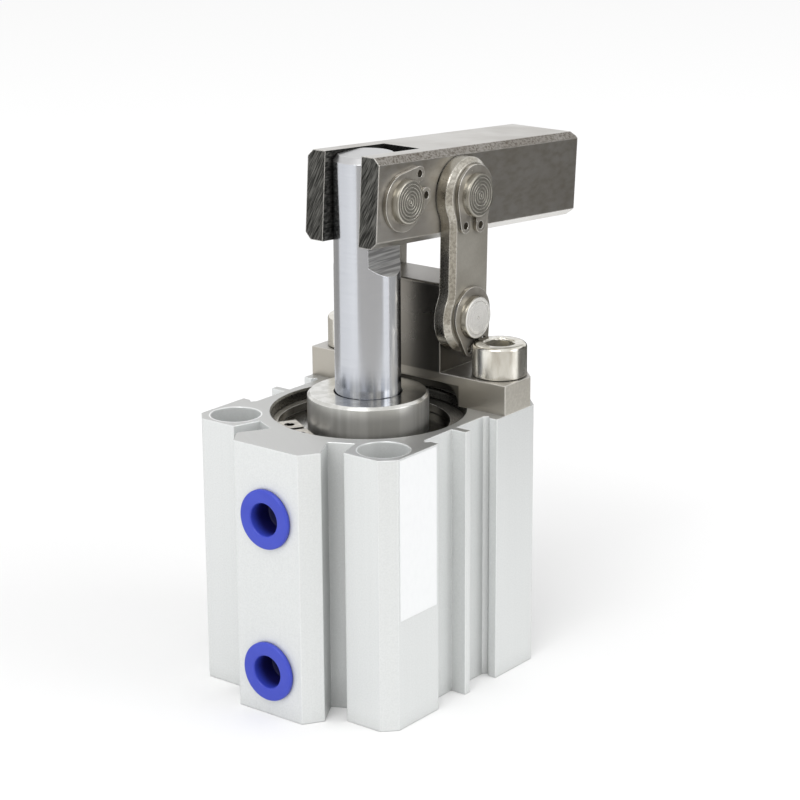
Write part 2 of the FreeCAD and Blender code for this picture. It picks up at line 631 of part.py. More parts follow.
def hexagon(page, across):
    """A hexagon about the sketch's origin."""
    corner = "(" + across + ") / 2 / cos(30)"
    outline(page, [(corner + " * cos(%d)" % angle, corner + " * sin(%d)" % angle)
                   for angle in range(0, 360, 60)])


# Pins and their clips

def make_pin(label, x, z, clip_at):
    """A pin along Y with a clip groove at each end, clip_at out from its middle."""
    end = "(" + clip_at + " + clip_thick + pin_tail)"
    low = "(" + clip_at + " - fit_gap)"
    high = "(" + clip_at + " + clip_thick + fit_gap)"
    radius = "pin_dia / 2"
    groove = PIN_GROOVE_DIA + " / 2"
    upper = [(radius, low), (groove, low), (groove, high), (radius, high),
             (radius, end + " - pin_chamfer"), ("pin_dia / 2 - pin_chamfer", end)]
    lower = [(out, "-(" + along + ")") for out, along in reversed(upper)]
    pin = turned(label, [("0", "-" + end)] + lower + upper + [("0", end)])
    place(pin, x=x, z=z, axis=(1, 0, 0), turn="90")
    return finished(pin, label)


def make_clip(label, x, z, near, clip_at, turn):
    """Outside clip on a pin, drawn flat with its lugs towards +X, then stood on the pin."""
    body = doc.addObject("PartDesign::Body", label)
    inner = PIN_GROOVE_DIA + " + 2 * fit_gap"
    shift = "(clip_front_width - clip_back_width) / 2"
    band = "(" + inner + " + clip_back_width + clip_front_width) / 2"
    page = sketch(body, label + "_band", "XY_Plane")
    circle(page, shift, "0", "2 * " + band)
    circle(page, "0", "0", inner)
    pad(body, page, "clip_thick")
    # Each lug is joined to the band by an arm along the line that touches both circles
    lug = "clip_lug_dia / 2"
    ahead = "(clip_lug_reach - " + shift + ")"
    touch = ("(atan(clip_lug_offset / " + ahead + ") + acos((" + band + " - " + lug + ") / sqrt("
             + ahead + "^2 + clip_lug_offset^2)))")
    within = "(" + inner + " + clip_front_width) / 2"
    for sign, side in (("", "left"), ("-", "right")):
        page = sketch(body, label + "_lug_" + side, "XY_Plane")
        circle(page, "clip_lug_reach", sign + "clip_lug_offset", "clip_lug_dia")
        pad(body, page, "clip_thick")
        page = sketch(body, label + "_arm_" + side, "XY_Plane")
        outline(page, [(x, sign + "(" + y + ")") for x, y in (
            (shift + " + " + band + " * cos" + touch, band + " * sin" + touch),
            ("clip_lug_reach + " + lug + " * cos" + touch, "clip_lug_offset + " + lug + " * sin" + touch),
            ("clip_lug_reach", "clip_lug_offset"),
            (within + " * cos(" + touch + " / 2)", within + " * sin(" + touch + " / 2)"))])
        pad(body, page, "clip_thick")
    page = sketch(body, label + "_gap", "XY_Plane")
    box_outline(page, "0", "clip_lug_reach + clip_lug_dia", "-clip_gap / 2", "clip_gap / 2")
    for sign in ("", "-"):
        circle(page, "clip_lug_reach", sign + "clip_lug_offset", "clip_hole_dia")
    pocket(body, page, back=True)
    # The sheet's X is turned by the lugs' direction and its face stood up to face -Y
    stood_up = FreeCAD.Rotation(FreeCAD.Vector(1, 0, 0), 90)
    turned_by = FreeCAD.Rotation(FreeCAD.Vector(0, 0, 1), cell(turn))
    y = "-(" + clip_at + ")" if near else clip_at + " + clip_thick"
    body.Placement = FreeCAD.Placement(FreeCAD.Vector(), stood_up.multiply(turned_by))
    bind(body, Placement__Base__x=x, Placement__Base__y=y, Placement__Base__z=z)
    finished(body, label)


def make_pins_and_clips():
    on_lever = "(lever_width / 2 + fit_gap)"
    on_links = "(" + LINK_OUTSIDE + " + fit_gap)"
    for name, x, z, clip_at, turn in (
            ("rod_pin", "0", ROD_PIN_Z, on_lever, "rod_clip_turn"),
            ("fulcrum_pin", FULCRUM_X, FULCRUM_Z, on_links, "fulcrum_clip_turn"),
            ("lower_pin", "lower_pin_reach", LOWER_PIN_Z, on_links, "lower_clip_turn")):
        make_pin(name, x, z, clip_at)
        make_clip(name + "_clip_near", x, z, True, clip_at, turn)
        make_clip(name + "_clip_far", x, z, False, clip_at, turn)


# Lever and links

def make_clamp_lever():
    """Drawn level about the rod pin, then tipped down."""
    body = doc.addObject("PartDesign::Body", "clamp_lever")
    page = sketch(body, "lever_side", "XZ_Plane")
    box_outline(page, "-lever_tail", "lever_reach", "-lever_height / 2", "lever_height / 2")
    pad(body, page, "lever_width", both_ways=True)
    tip = cell("lever_reach")
    dress(body, "Chamfer", edge_names(body, lambda e: runs_along(e, "x")), Size="lever_bevel")
    dress(body, "Chamfer", edge_names(body, lambda e: runs_along(e, "y") and abs(middle(e).x - tip) < NEAR),
          Size="lever_tip_bevel")
    page = sketch(body, "lever_fork", "XY_Plane")
    box_outline(page, "-lever_tail - cut_over", "fork_depth", "-fork_width / 2", "fork_width / 2")
    pocket(body, page, both_ways=True)
    page = sketch(body, "lever_rod_bore", "XZ_Plane")
    circle(page, "0", "0", "pin_dia + 2 * fit_gap")
    pocket(body, page, both_ways=True)
    # Sloping slotted hole that gives the fulcrum pin its play, hidden behind the links' ends
    play = "(pin_dia / 2 + pivot_play_round + run_gap)"

    def spot(run, out=None):
        """A point run along the hole's middle line and out to its side, both given as signs."""
        x = "pin_spacing" + run + "pivot_play_run * cos(pivot_play_slope)"
        z = "0" + opposite[run] + "pivot_play_run * sin(pivot_play_slope)"
        if out:
            x += out + play + " * sin(pivot_play_slope)"
            z += out + play + " * cos(pivot_play_slope)"
        return x, z

    opposite = {" + ": " - ", " - ": " + "}
    for run, name in ((" - ", "rear"), (" + ", "front")):
        page = sketch(body, "lever_play_" + name, "XZ_Plane")
        circle(page, *spot(run), "2 * " + play)
        pocket(body, page, both_ways=True)
    page = sketch(body, "lever_play_run", "XZ_Plane")
    outline(page, [spot(" - ", " - "), spot(" + ", " - "), spot(" + ", " + "), spot(" - ", " + ")])
    pocket(body, page, both_ways=True)
    place(body, z=ROD_PIN_Z, axis=(0, 1, 0), turn="lever_tilt")
    return finished(body, "clamp_lever")


def make_side_link(label, near):
    """Drawn upright about the lower pin, then leant to the fulcrum pin."""
    body = doc.addObject("PartDesign::Body", label)
    offset = LINK_INSIDE if near else "-" + LINK_OUTSIDE
    for name, height in (("foot", "0"), ("head", LINK_LENGTH)):
        page = sketch(body, label + "_" + name, "XZ_Plane", offset)
        circle(page, "0", height, "link_end_dia")
        pad(body, page, "link_thick")
    page = sketch(body, label + "_waist", "XZ_Plane", offset)
    box_outline(page, "link_waist_shift - link_waist / 2", "link_waist_shift + link_waist / 2",
                "0", LINK_LENGTH)
    pad(body, page, "link_thick")
    shift = cell("link_waist_shift")
    side = cell("link_waist") / 2
    dress(body, "Fillet", edge_names(body, lambda e: runs_along(e, "y")
                                     and abs(abs(middle(e).x - shift) - side) < NEAR), Radius="link_blend")
    outside = -1 if near else 1
    face = outside * (cell("lever_width") / 2 + cell("link_gap") + cell("link_thick"))
    dress(body, "Chamfer", edge_names(body, lambda e: abs(middle(e).y - face) < NEAR), Size="link_bevel")
    page = sketch(body, label + "_bores", "XZ_Plane", offset)
    circle(page, "0", "0", "pin_dia + 2 * run_gap")
    circle(page, "0", LINK_LENGTH, "pin_dia + 2 * fit_gap")
    pocket(body, page, both_ways=True)
    place(body, x="lower_pin_reach", z=LOWER_PIN_Z, axis=(0, 1, 0), turn=LINK_TILT)
    return finished(body, label)


# Bracket, screws, plugs and label

def make_clamp_bracket():
    body = doc.addObject("PartDesign::Body", "clamp_bracket")
    rear = "case_side / 2"
    page = sketch(body, "bracket_plate", "XY_Plane", "case_height")
    outline(page, [("bracket_front", "-case_side / 2"), ("case_side / 2 - plate_corner", "-case_side / 2"),
                   (rear, "-case_side / 2 + plate_corner"), (rear, "case_side / 2 - plate_corner"),
                   ("case_side / 2 - plate_corner", "case_side / 2"), ("bracket_front", "case_side / 2")])
    pad(body, page, "plate_thick")
    page = sketch(body, "bracket_block", "XY_Plane", "case_height")
    box_outline(page, "bracket_front", "bracket_front + block_depth", "-block_width / 2", "block_width / 2")
    pad(body, page, "block_rise")
    top = cell("case_height") + cell("block_rise")
    dress(body, "Fillet", edge_names(body, lambda e: abs(middle(e).z - top) < NEAR), Radius="block_round")
    page = sketch(body, "bracket_relief", "YZ_Plane", "bracket_front")
    box_outline(page, "-relief_width / 2", "relief_width / 2", "case_height - cut_over",
                "case_height + relief_height")
    pocket(body, page, "relief_depth", back=True)
    side = cell("relief_width") / 2
    roof = cell("case_height") + cell("relief_height")
    dress(body, "Fillet", edge_names(body, lambda e: runs_along(e, "x") and abs(middle(e).z - roof) < NEAR
                                     and abs(abs(middle(e).y) - side) < NEAR), Radius="relief_round")
    page = sketch(body, "bracket_screw_holes", "XY_Plane", "case_height")
    for sign in ("", "-"):
        circle(page, BOLT_AT, sign + BOLT_AT, "screw_hole_dia")
    pocket(body, page, back=True)
    page = sketch(body, "bracket_pin_bore", "XZ_Plane")
    circle(page, "lower_pin_reach", LOWER_PIN_Z, "pin_dia + 2 * fit_gap")
    pocket(body, page, both_ways=True)
    return finished(body, "clamp_bracket")


def make_bracket_screw(label, y):
    """Drawn with the seat of its head at the origin."""
    thread = "screw_dia / 2"
    head = "screw_head_dia / 2"
    body = turned(label, [
        ("0", "-screw_length"), ("screw_dia / 2 - screw_tip", "-screw_length"),
        (thread, "-screw_length + screw_tip"),
        (thread, "0"), (head, "0"), (head, "screw_head - screw_head_chamfer"),
        ("screw_head_dia / 2 - screw_head_chamfer", "screw_head"), ("0", "screw_head")])
    page = sketch(body, label + "_socket", "XY_Plane", "screw_head")
    hexagon(page, "socket_width")
    pocket(body, page, "socket_depth")
    place(body, x=BOLT_AT, y=y, z="case_height + plate_thick")
    finished(body, label)


def make_port_plug(label, height):
    """Drawn standing, flange up, then laid into its port."""
    stem = "port_dia / 2 - fit_gap"
    flange = "plug_flange_dia / 2"
    hollow = "plug_hole_dia / 2"
    floor = "-plug_stem_length + plug_wall"
    plug = turned(label, [
        ("0", "-plug_stem_length"), ("port_dia / 2 - fit_gap - plug_round", "-plug_stem_length"),
        (stem, "-plug_stem_length + plug_round"), (stem, "0"), (flange, "0"),
        (flange, "plug_flange - plug_round"), ("plug_flange_dia / 2 - plug_round", "plug_flange"),
        ("plug_hole_dia / 2 + plug_round", "plug_flange"), (hollow, "plug_flange - plug_round"),
        (hollow, floor), ("0", floor)])
    place(plug, x="-" + PAD_REACH, z=height, axis=(0, 1, 0), turn="-90")
    finished(plug, label)


def make_blank_label():
    label = doc.addObject("Part::Box", "blank_label")
    bind(label, Length="label_width", Width="label_thick", Height="label_height")
    place(label, x="label_inset - case_side / 2", y="-case_side / 2 - label_thick",
          z="case_height - label_drop - label_height")
    finished(label, "blank_label")


make_cylinder_body()
make_front_cover()
make_rod_bush()
make_rod_seal()
make_bumper("front_bumper", FRONT_COVER_END + " - bumper_thick + bumper_sink")
make_retaining_ring("front_retaining_ring", FRONT_RING, "front_ring_turn")
make_rear_cover()
make_bumper("rear_bumper", "rear_cover_reach - bumper_sink")
make_retaining_ring("rear_retaining_ring", "rear_ring_depth", "rear_ring_turn")
make_piston_and_rod()
make_clamp_bracket()
make_bracket_screw("bracket_screw_left", BOLT_AT)
make_bracket_screw("bracket_screw_right", "-" + BOLT_AT)
make_clamp_lever()
make_side_link("side_link_near", True)
make_side_link("side_link_far", False)
make_pins_and_clips()
make_port_plug("port_plug_upper", "case_height - upper_port_drop")
make_port_plug("port_plug_lower", "lower_port_height")
make_blank_label()
doc.recompute()

# Every object must have computed, and every sub-part be one valid solid
for item in doc.Objects:
    if "Invalid" in item.State or "Error" in item.State:
        raise RuntimeError(item.Name + " did not compute")
for piece in SUB_PARTS:
    if piece.Shape.isNull() or not piece.Shape.isValid() or len(piece.Shape.Solids) != 1:
        raise RuntimeError(piece.Label + " is not one valid solid")

os.makedirs("parts", exist_ok=True)
for piece in SUB_PARTS:
    piece.Shape.exportStep("parts/" + piece.Label + ".step")
print("%d sub-parts" % len(SUB_PARTS))
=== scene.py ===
"""Lever clamp cylinder: the finishes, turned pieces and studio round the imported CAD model."""
import math

import bpy
from bpy.props import FloatProperty, FloatVectorProperty, PointerProperty
from mathutils import Matrix, Vector


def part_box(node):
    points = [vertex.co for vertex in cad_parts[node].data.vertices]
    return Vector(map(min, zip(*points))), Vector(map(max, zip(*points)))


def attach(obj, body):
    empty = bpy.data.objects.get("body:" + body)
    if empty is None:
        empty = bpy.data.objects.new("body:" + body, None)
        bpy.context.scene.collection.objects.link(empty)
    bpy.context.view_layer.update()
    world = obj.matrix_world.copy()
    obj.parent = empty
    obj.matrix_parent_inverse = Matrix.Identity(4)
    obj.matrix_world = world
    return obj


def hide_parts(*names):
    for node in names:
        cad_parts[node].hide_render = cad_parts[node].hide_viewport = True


bl_info = {
    "name": "Lever clamp cylinder",
    "version": (1, 0, 0),
    "blender": (4, 5, 0),
    "location": "3D View > Sidebar > Clamp",
    "description": "Dresses the lever clamp cylinder and sets up its studio",
    "category": "Object",
}

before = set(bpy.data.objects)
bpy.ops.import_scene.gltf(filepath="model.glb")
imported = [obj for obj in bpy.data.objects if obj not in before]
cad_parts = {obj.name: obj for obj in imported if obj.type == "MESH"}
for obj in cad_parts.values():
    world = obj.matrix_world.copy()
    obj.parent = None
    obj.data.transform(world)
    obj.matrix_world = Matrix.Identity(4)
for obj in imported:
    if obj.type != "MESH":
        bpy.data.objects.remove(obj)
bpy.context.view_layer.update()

MM = 0.001
UP = (0.0, 0.0, 1.0)


def node_box(name):
    """Lowest and highest corner of a CAD node, in millimetres."""
    low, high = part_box(name)
    return Vector(low) / MM, Vector(high) / MM


def node_middle(name):
    """Middle of a CAD node's box, in millimetres."""
    low, high = node_box(name)
    return (low + high) / 2


# Places on the CAD nodes that bound the areas of a finish, in millimetres, with a margin where free

BODY_TOP = node_box("cylinder_body")[1].z
BOSS_TOP = node_box("front_cover")[1].z
BOLT_OFFSET = 17.0
SEAT_RADIUS = 4.5
BORE_REACH = 18.3
PLATE_TOP = BODY_TOP + 5.6
RELIEF_TOP = BODY_TOP + 3.9
RELIEF_HALF = 12.0
FLATS_FOOT = node_box("piston_rod")[1].z - 19.4
TONGUE_HALF = 3.95
FORK_END = node_box("clamp_lever")[0].x
FORK_HALF = 4.1
FORK_BOTTOM = 10.6

# Tints that several finishes share, as linear colours: painted edge highlights, painted shade in gaps
# and painted shadow down in the bore

NICKEL_EDGE_HIGHLIGHT = (0.88, 0.86, 0.82)
STEEL_EDGE_HIGHLIGHT = (0.92, 0.90, 0.86)
ALUMINIUM_EDGE_HIGHLIGHT = (0.93, 0.94, 0.94)
GAP_SHADE = (0.02, 0.019, 0.016)
BORE_SHADOW = (0.012, 0.012, 0.01)


def length(name, description, default):
    """A size in metres whose default is written in millimetres."""
    return FloatProperty(name=name, description=description, default=default * MM,
                         min=0.0, precision=5, subtype="DISTANCE", unit="LENGTH")


def colour(name, description, default):
    """A colour in linear red, green and blue."""
    return FloatVectorProperty(name=name, description=description, default=default,
                               size=3, min=0.0, max=1.0, subtype="COLOR")


def share(name, description, default):
    """A share from 0 to 1."""
    return FloatProperty(name=name, description=description, default=default,
                         min=0.0, max=1.0, subtype="FACTOR")


# Nodes of shaders and of geometry trees

class Reading:
    """A socket used in expressions: each sum on it adds a Math node."""

    def __init__(self, nodes, socket):
        self.nodes = nodes
        self.socket = socket

    def math(self, operation, *values):
        return self.nodes.read("ShaderNodeMath", {"operation": operation},
                               dict(enumerate(values)))

    def __add__(self, other):
        return self.math("ADD", self, other)

    def __sub__(self, other):
        return self.math("SUBTRACT", self, other)

    def __rsub__(self, other):
        return self.math("SUBTRACT", other, self)

    def __mul__(self, other):
        return self.math("MULTIPLY", self, other)

    def __truediv__(self, other):
        return self.math("DIVIDE", self, other)

    def __pow__(self, other):
        return self.math("POWER", self, other)

    def __abs__(self):
        return self.math("ABSOLUTE", self)

    def __neg__(self):
        return self.math("MULTIPLY", self, -1.0)

    __radd__ = __add__
    __rmul__ = __mul__

    def root(self):
        return self.math("SQRT", self)

    def rise(self, start, end):
        """0 below start, 1 above end and a smooth step between them."""
        return self.nodes.read("ShaderNodeMapRange", {"interpolation_type": "SMOOTHSTEP"},
                               {"Value": self, "From Min": start, "From Max": end})


class Nodes:
    """A node tree, with one method that makes any node."""

    def __init__(self, tree):
        self.tree = tree

    @staticmethod
    def find(sockets, key):
        if isinstance(key, int):
            return sockets[key]
        named = [s for s in sockets if s.identifier == key] or [s for s in sockets if s.name == key]
        return named[0]

    def node(self, kind, settings=None, inputs=None):
        made = self.tree.nodes.new(kind)
        for key, value in (settings or {}).items():
            setattr(made, key, value)
        for key, value in (inputs or {}).items():
            socket = self.find(made.inputs, key)
            if isinstance(value, Reading):
                value = value.socket
            if isinstance(value, bpy.types.NodeSocket):
                self.tree.links.new(value, socket)
            else:
                socket.default_value = value
        return made

    def read(self, kind, settings=None, inputs=None, out=0):
        made = self.node(kind, settings, inputs)
        return Reading(self, self.find(made.outputs, out))


class Finish(Nodes):
    """A material. Its patterns are placed by Object coordinates in millimetres."""

    def __init__(self, name):
        self.material = bpy.data.materials.new(name)
        self.material.use_nodes = True
        super().__init__(self.material.node_tree)
        self.tree.nodes.clear()
        place = self.node("ShaderNodeTexCoord")
        self.at = self.read("ShaderNodeVectorMath", {"operation": "SCALE"},
                            {"Vector": place.outputs["Object"], "Scale": 1 / MM})
        self.x, self.y, self.z = self.parts(self.at)
        self.nx, self.ny, self.nz = self.parts(Reading(self, place.outputs["Normal"]))
        self.normal = None

    def parts(self, vector):
        split = self.node("ShaderNodeSeparateXYZ", None, {"Vector": vector})
        return [Reading(self, out) for out in split.outputs]

    def vector(self, x, y, z):
        return self.read("ShaderNodeCombineXYZ", None, {"X": x, "Y": y, "Z": z})

    def noise(self, scale, stretch=(1.0, 1.0, 1.0), detail=2.0, at=None):
        """Noise from 0 to 1, with scale cells a millimetre."""
        spread = self.read("ShaderNodeVectorMath", {"operation": "MULTIPLY"},
                           {0: at or self.at, 1: tuple(scale * s for s in stretch)})
        return self.read("ShaderNodeTexNoise", None,
                         {"Vector": spread, "Scale": 1.0, "Detail": detail}, "Fac")

    def mix(self, factor, first, second):
        """first where factor is 0 and second where it is 1, for colours and normals."""
        ends = [c if isinstance(c, Reading) else (*c, 1.0) for c in (first, second)]
        return self.read("ShaderNodeMix", {"data_type": "RGBA"},
                         {"Factor_Float": factor, "A_Color": ends[0], "B_Color": ends[1]},
                         "Result_Color")

    def round_edges(self, radius, sharp_hollows=False):
        """Rounds the edges' shading and gives a mask that is 1 along them.

        With sharp_hollows, inner corners keep their flat shading.
        """
        soft = self.read("ShaderNodeBevel", {"samples": 6}, {"Radius": radius * MM})
        flat = Reading(self, self.node("ShaderNodeNewGeometry").outputs["Normal"])
        along = self.read("ShaderNodeVectorMath", {"operation": "DOT_PRODUCT"},
                          {0: soft, 1: flat}, "Value")
        self.normal = self.mix(self.corner(), soft, flat) if sharp_hollows else soft
        return (1 - along).rise(0.02, 0.12)

    def hollow(self, distance, start=0.3, end=0.8):
        """1 down in gaps, looking round for distance millimetres, and 0 in the open."""
        sky = self.read("ShaderNodeAmbientOcclusion", {"samples": 4},
                        {"Distance": distance * MM}, "AO")
        return (1 - sky).rise(start, end)

    def corner(self):
        """1 close to an inner corner, where no painted edge highlight may show."""
        return self.hollow(0.8, 0.12, 0.35)

    def bump(self, height, depth):
        """Adds relief: height from 0 to 1 stands for depth millimetres."""
        inputs = {"Height": height, "Distance": depth * MM, "Strength": 1.0}
        if self.normal is not None:
            inputs["Normal"] = self.normal
        self.normal = self.read("ShaderNodeBump", None, inputs)

    def done(self, **sockets):
        """The shader, with its sockets given by name with _ for a space."""
        inputs = {}
        for key, value in sockets.items():
            if isinstance(value, tuple) and len(value) == 3:
                value = (*value, 1.0)
            inputs[key.replace("_", " ")] = value
        if self.normal is not None:
            inputs["Normal"] = self.normal
        shader = self.node("ShaderNodeBsdfPrincipled", None, inputs)
        self.node("ShaderNodeOutputMaterial", None, {"Surface": shader.outputs[0]})
        return self.material


class Shape(Nodes):
    """A geometry tree whose sizes are named inputs, in metres."""

    def __init__(self, name, sizes):
        super().__init__(bpy.data.node_groups.new(name, "GeometryNodeTree"))
        sockets = self.tree.interface
        for label, default in sizes.items():
            given = sockets.new_socket(label, in_out="INPUT", socket_type="NodeSocketFloat")
            given.subtype = "DISTANCE"
            given.default_value = default
        sockets.new_socket("Geometry", in_out="OUTPUT", socket_type="NodeSocketGeometry")
        self.inputs = self.node("NodeGroupInput")

    def __getitem__(self, label):
        return Reading(self, self.inputs.outputs[label])

    def rod(self, radius, low, high, sides, rows=1):
        """An upright cylinder from low to high, with its top and bottom as selections."""
        made = self.node("GeometryNodeMeshCylinder", None,
                         {"Vertices": sides, "Side Segments": rows, "Radius": radius,
                          "Depth": high - low})
        lift = self.node("ShaderNodeCombineXYZ", None, {"Z": (low + high) * 0.5})
        moved = self.node("GeometryNodeTransform", None,
                          {"Geometry": made.outputs["Mesh"], "Translation": lift.outputs[0]})
        return moved.outputs[0], made.outputs["Top"], made.outputs["Bottom"]

    def turn(self, mesh, end, stations, way=1.0):
        """Carries an end face on through stations of radius and rise, as on a lathe."""
        radius, height = stations[0]
        for next_radius, next_height in stations[1:]:
            grown = self.node("GeometryNodeExtrudeMesh", None,
                              {"Mesh": mesh, "Selection": end, "Offset": UP, "Individual": False,
                               "Offset Scale": (next_height - height) * way})
            mesh, end = grown.outputs["Mesh"], grown.outputs["Top"]
            scaled = self.node("GeometryNodeScaleElements", None,
                               {"Geometry": mesh, "Selection": end, "Scale": next_radius / radius})
            mesh = scaled.outputs[0]
            radius, height = next_radius, next_height
        return mesh, end

    def place_points(self, mesh, selection, x, y, z):
        spot = self.node("ShaderNodeCombineXYZ", None, {"X": x, "Y": y, "Z": z})
        moved = self.node("GeometryNodeSetPosition", None,
                          {"Geometry": mesh, "Selection": selection, "Position": spot.outputs[0]})
        return moved.outputs[0]

    def position(self):
        split = self.node("ShaderNodeSeparateXYZ", None,
                          {"Vector": self.node("GeometryNodeInputPosition").outputs[0]})
        return [Reading(self, out) for out in split.outputs]

    def done(self, mesh, material, start, step=(0.0, 0.0, 0.0), count=1, rotation=(0.0, 0.0, 0.0)):
        """Sets copies of the mesh down along a line, makes them real and gives the material."""
        line = self.node("GeometryNodeMeshLine", None,
                         {"Count": count, "Start Location": tuple(start), "Offset": tuple(step)})
        smooth = self.node("GeometryNodeSetShadeSmooth", None, {"Geometry": mesh})
        copies = self.node("GeometryNodeInstanceOnPoints", None,
                           {"Points": line.outputs[0], "Instance": smooth.outputs[0],
                            "Rotation": rotation})
        real = self.node("GeometryNodeRealizeInstances", None, {"Geometry": copies.outputs[0]})
        dressed = self.node("GeometryNodeSetMaterial", None,
                            {"Geometry": real.outputs[0], "Material": material})
        self.node("NodeGroupOutput", None, {"Geometry": dressed.outputs[0]})
        return self.tree


def grow(name, tree, sizes, body, slot_name, *nodes):
    """Runs a geometry tree, keeps its result as a plain mesh and lets it stand for CAD nodes."""
    piece = bpy.data.objects.new(name, bpy.data.meshes.new(name))
    bpy.context.scene.collection.objects.link(piece)
    growing = piece.modifiers.new("shape", "NODES")
    growing.node_group = tree
    for item in tree.interface.items_tree:
        if item.in_out == "INPUT":
            growing[item.identifier] = sizes[item.name]
    view = bpy.context.evaluated_depsgraph_get()
    mesh = bpy.data.meshes.new_from_object(piece.evaluated_get(view))
    piece.modifiers.clear()
    piece.data = mesh
    mesh.name = name
    mesh.set_sharp_from_angle(angle=math.radians(28.0))
    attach(piece, body)
    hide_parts(*nodes)


def dress(material, slot_name, *names):
    """Gives a material to CAD nodes."""
    for name in names:
        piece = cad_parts[name]
        if not piece.material_slots:
            piece.data.materials.append(material)
        for material_slot in piece.material_slots:
            material_slot.material = material


# Finishes

def anodised_aluminium(tints):
    """Bead-blasted, clear anodised walls with milled end faces and a machined bore, painted shade in
    the slots, seats and bore, and painted highlights on edges and seat rims.
    """
    f = Finish("anodised_aluminium")
    edge = f.round_edges(0.34) * (1 - f.hollow(0.8, 0.15, 0.4))
    hollow_shade = f.hollow(7.0, 0.42, 0.95)
    dark = f.hollow(16.0, 0.5, 0.85)
    radius = (f.x ** 2 + f.y ** 2).root()
    from_bolt = ((abs(f.x) - BOLT_OFFSET) ** 2 + (abs(f.y) - BOLT_OFFSET) ** 2).root()
    milled = abs(f.nz).rise(0.8, 0.95)
    at_top = f.z.rise(BODY_TOP - 1.0, BODY_TOP - 0.4)
    seat = (1 - from_bolt.rise(SEAT_RADIUS + 0.04, SEAT_RADIUS + 0.08)) * (1 - milled)
    seat_depth = 1 - f.z.rise(BODY_TOP - 5.5, BODY_TOP)
    # Painted highlight round the bolt seats' rims on the top face
    rim = milled * at_top * (1 - abs(from_bolt - (SEAT_RADIUS + 0.16)).rise(0.1, 0.2))
    bored = (1 - radius.rise(BORE_REACH, BORE_REACH + 0.3)) * (1 - milled)
    below = (1 - at_top) * milled
    blasted = f.noise(3.6, detail=4.0)
    drawn = f.noise(1.0, (1.3, 1.3, 0.02))
    from_cutter = ((f.x + 70) ** 2 + (f.y - 30) ** 2).root()
    arcs = f.noise(1.0, (1.5, 0.02, 1.0), at=f.vector(from_cutter, f.y, f.z))
    f.bump(blasted * (1 - milled) * 0.55 + drawn * (1 - milled) * 0.1 + arcs * milled * 0.5, 0.008)
    tint = f.mix(blasted.rise(0.3, 0.75) * 0.35 + drawn * 0.2, tints.body, tints.body_shade)
    tint = f.mix(milled, tint, f.mix(arcs * 0.3, tints.milled, tints.body_shade))
    # Painted shade in the slots, deeper down the bolt seats and on milled faces below the top
    tint = f.mix(hollow_shade * (1 - seat * 0.5) * 0.44, tint, tints.body_hollow_shade)
    tint = f.mix(seat * seat_depth * 0.12, tint, tints.body_hollow_shade)
    tint = f.mix(below * 0.5, tint, tints.bore)
    # The bore's dark colour and the darker tone where it is most hidden are a painted shadow down the
    # bore
    tint = f.mix(bored, tint, f.mix(dark * 0.7, tints.bore, BORE_SHADOW))
    # Painted highlights along the rounded edges and round the seat rims
    tint = f.mix((edge * (1 - bored) * 0.9 + rim * 0.8).rise(0.0, 1.0), tint, ALUMINIUM_EDGE_HIGHLIGHT)
    rough = 0.48 - milled * 0.12 - bored * 0.2 + (blasted - 0.5) * 0.14 - edge * 0.1
    return f.done(Base_Color=tint, Roughness=rough, Metallic=0.5 + milled * 0.25 + bored * 0.4)


def turned_aluminium(tints):
    """Turned covers: fine tool rings round the rod's axis, painted shade deep under the bracket and
    painted edge highlights.
    """
    f = Finish("turned_aluminium")
    edge = f.round_edges(0.2)
    hollow_shade = f.hollow(16.0, 0.5, 0.85) * (1 - f.z.rise(BODY_TOP - 2.5, BODY_TOP - 1.0))
    radius = (f.x ** 2 + f.y ** 2).root()
    rings = f.noise(1.0, (3.2, 1.0, 0.3), at=f.vector(radius, 0.0, f.z))
    bands = f.noise(1.0, (0.55, 0.55, 0.05))
    top = f.nz.rise(0.6, 0.8)
    f.bump(rings * (1 - top * 0.7), 0.008)
    tint = f.mix(rings * 0.2 + bands.rise(0.35, 0.65) * 0.4, tints.cover, tints.cover_shade)
    # Painted shade where the cover sits deep under the bracket
    tint = f.mix(hollow_shade * 0.75, tint, (0.04, 0.04, 0.036))
    # Painted highlight along the rounded edges
    tint = f.mix(edge, tint, (0.95, 0.95, 0.94))
    rough = 0.24 + rings * 0.1 - edge * 0.08 - top * 0.12
    return f.done(Base_Color=tint, Roughness=rough, Metallic=0.72 + top * 0.28 + hollow_shade * 0.2)


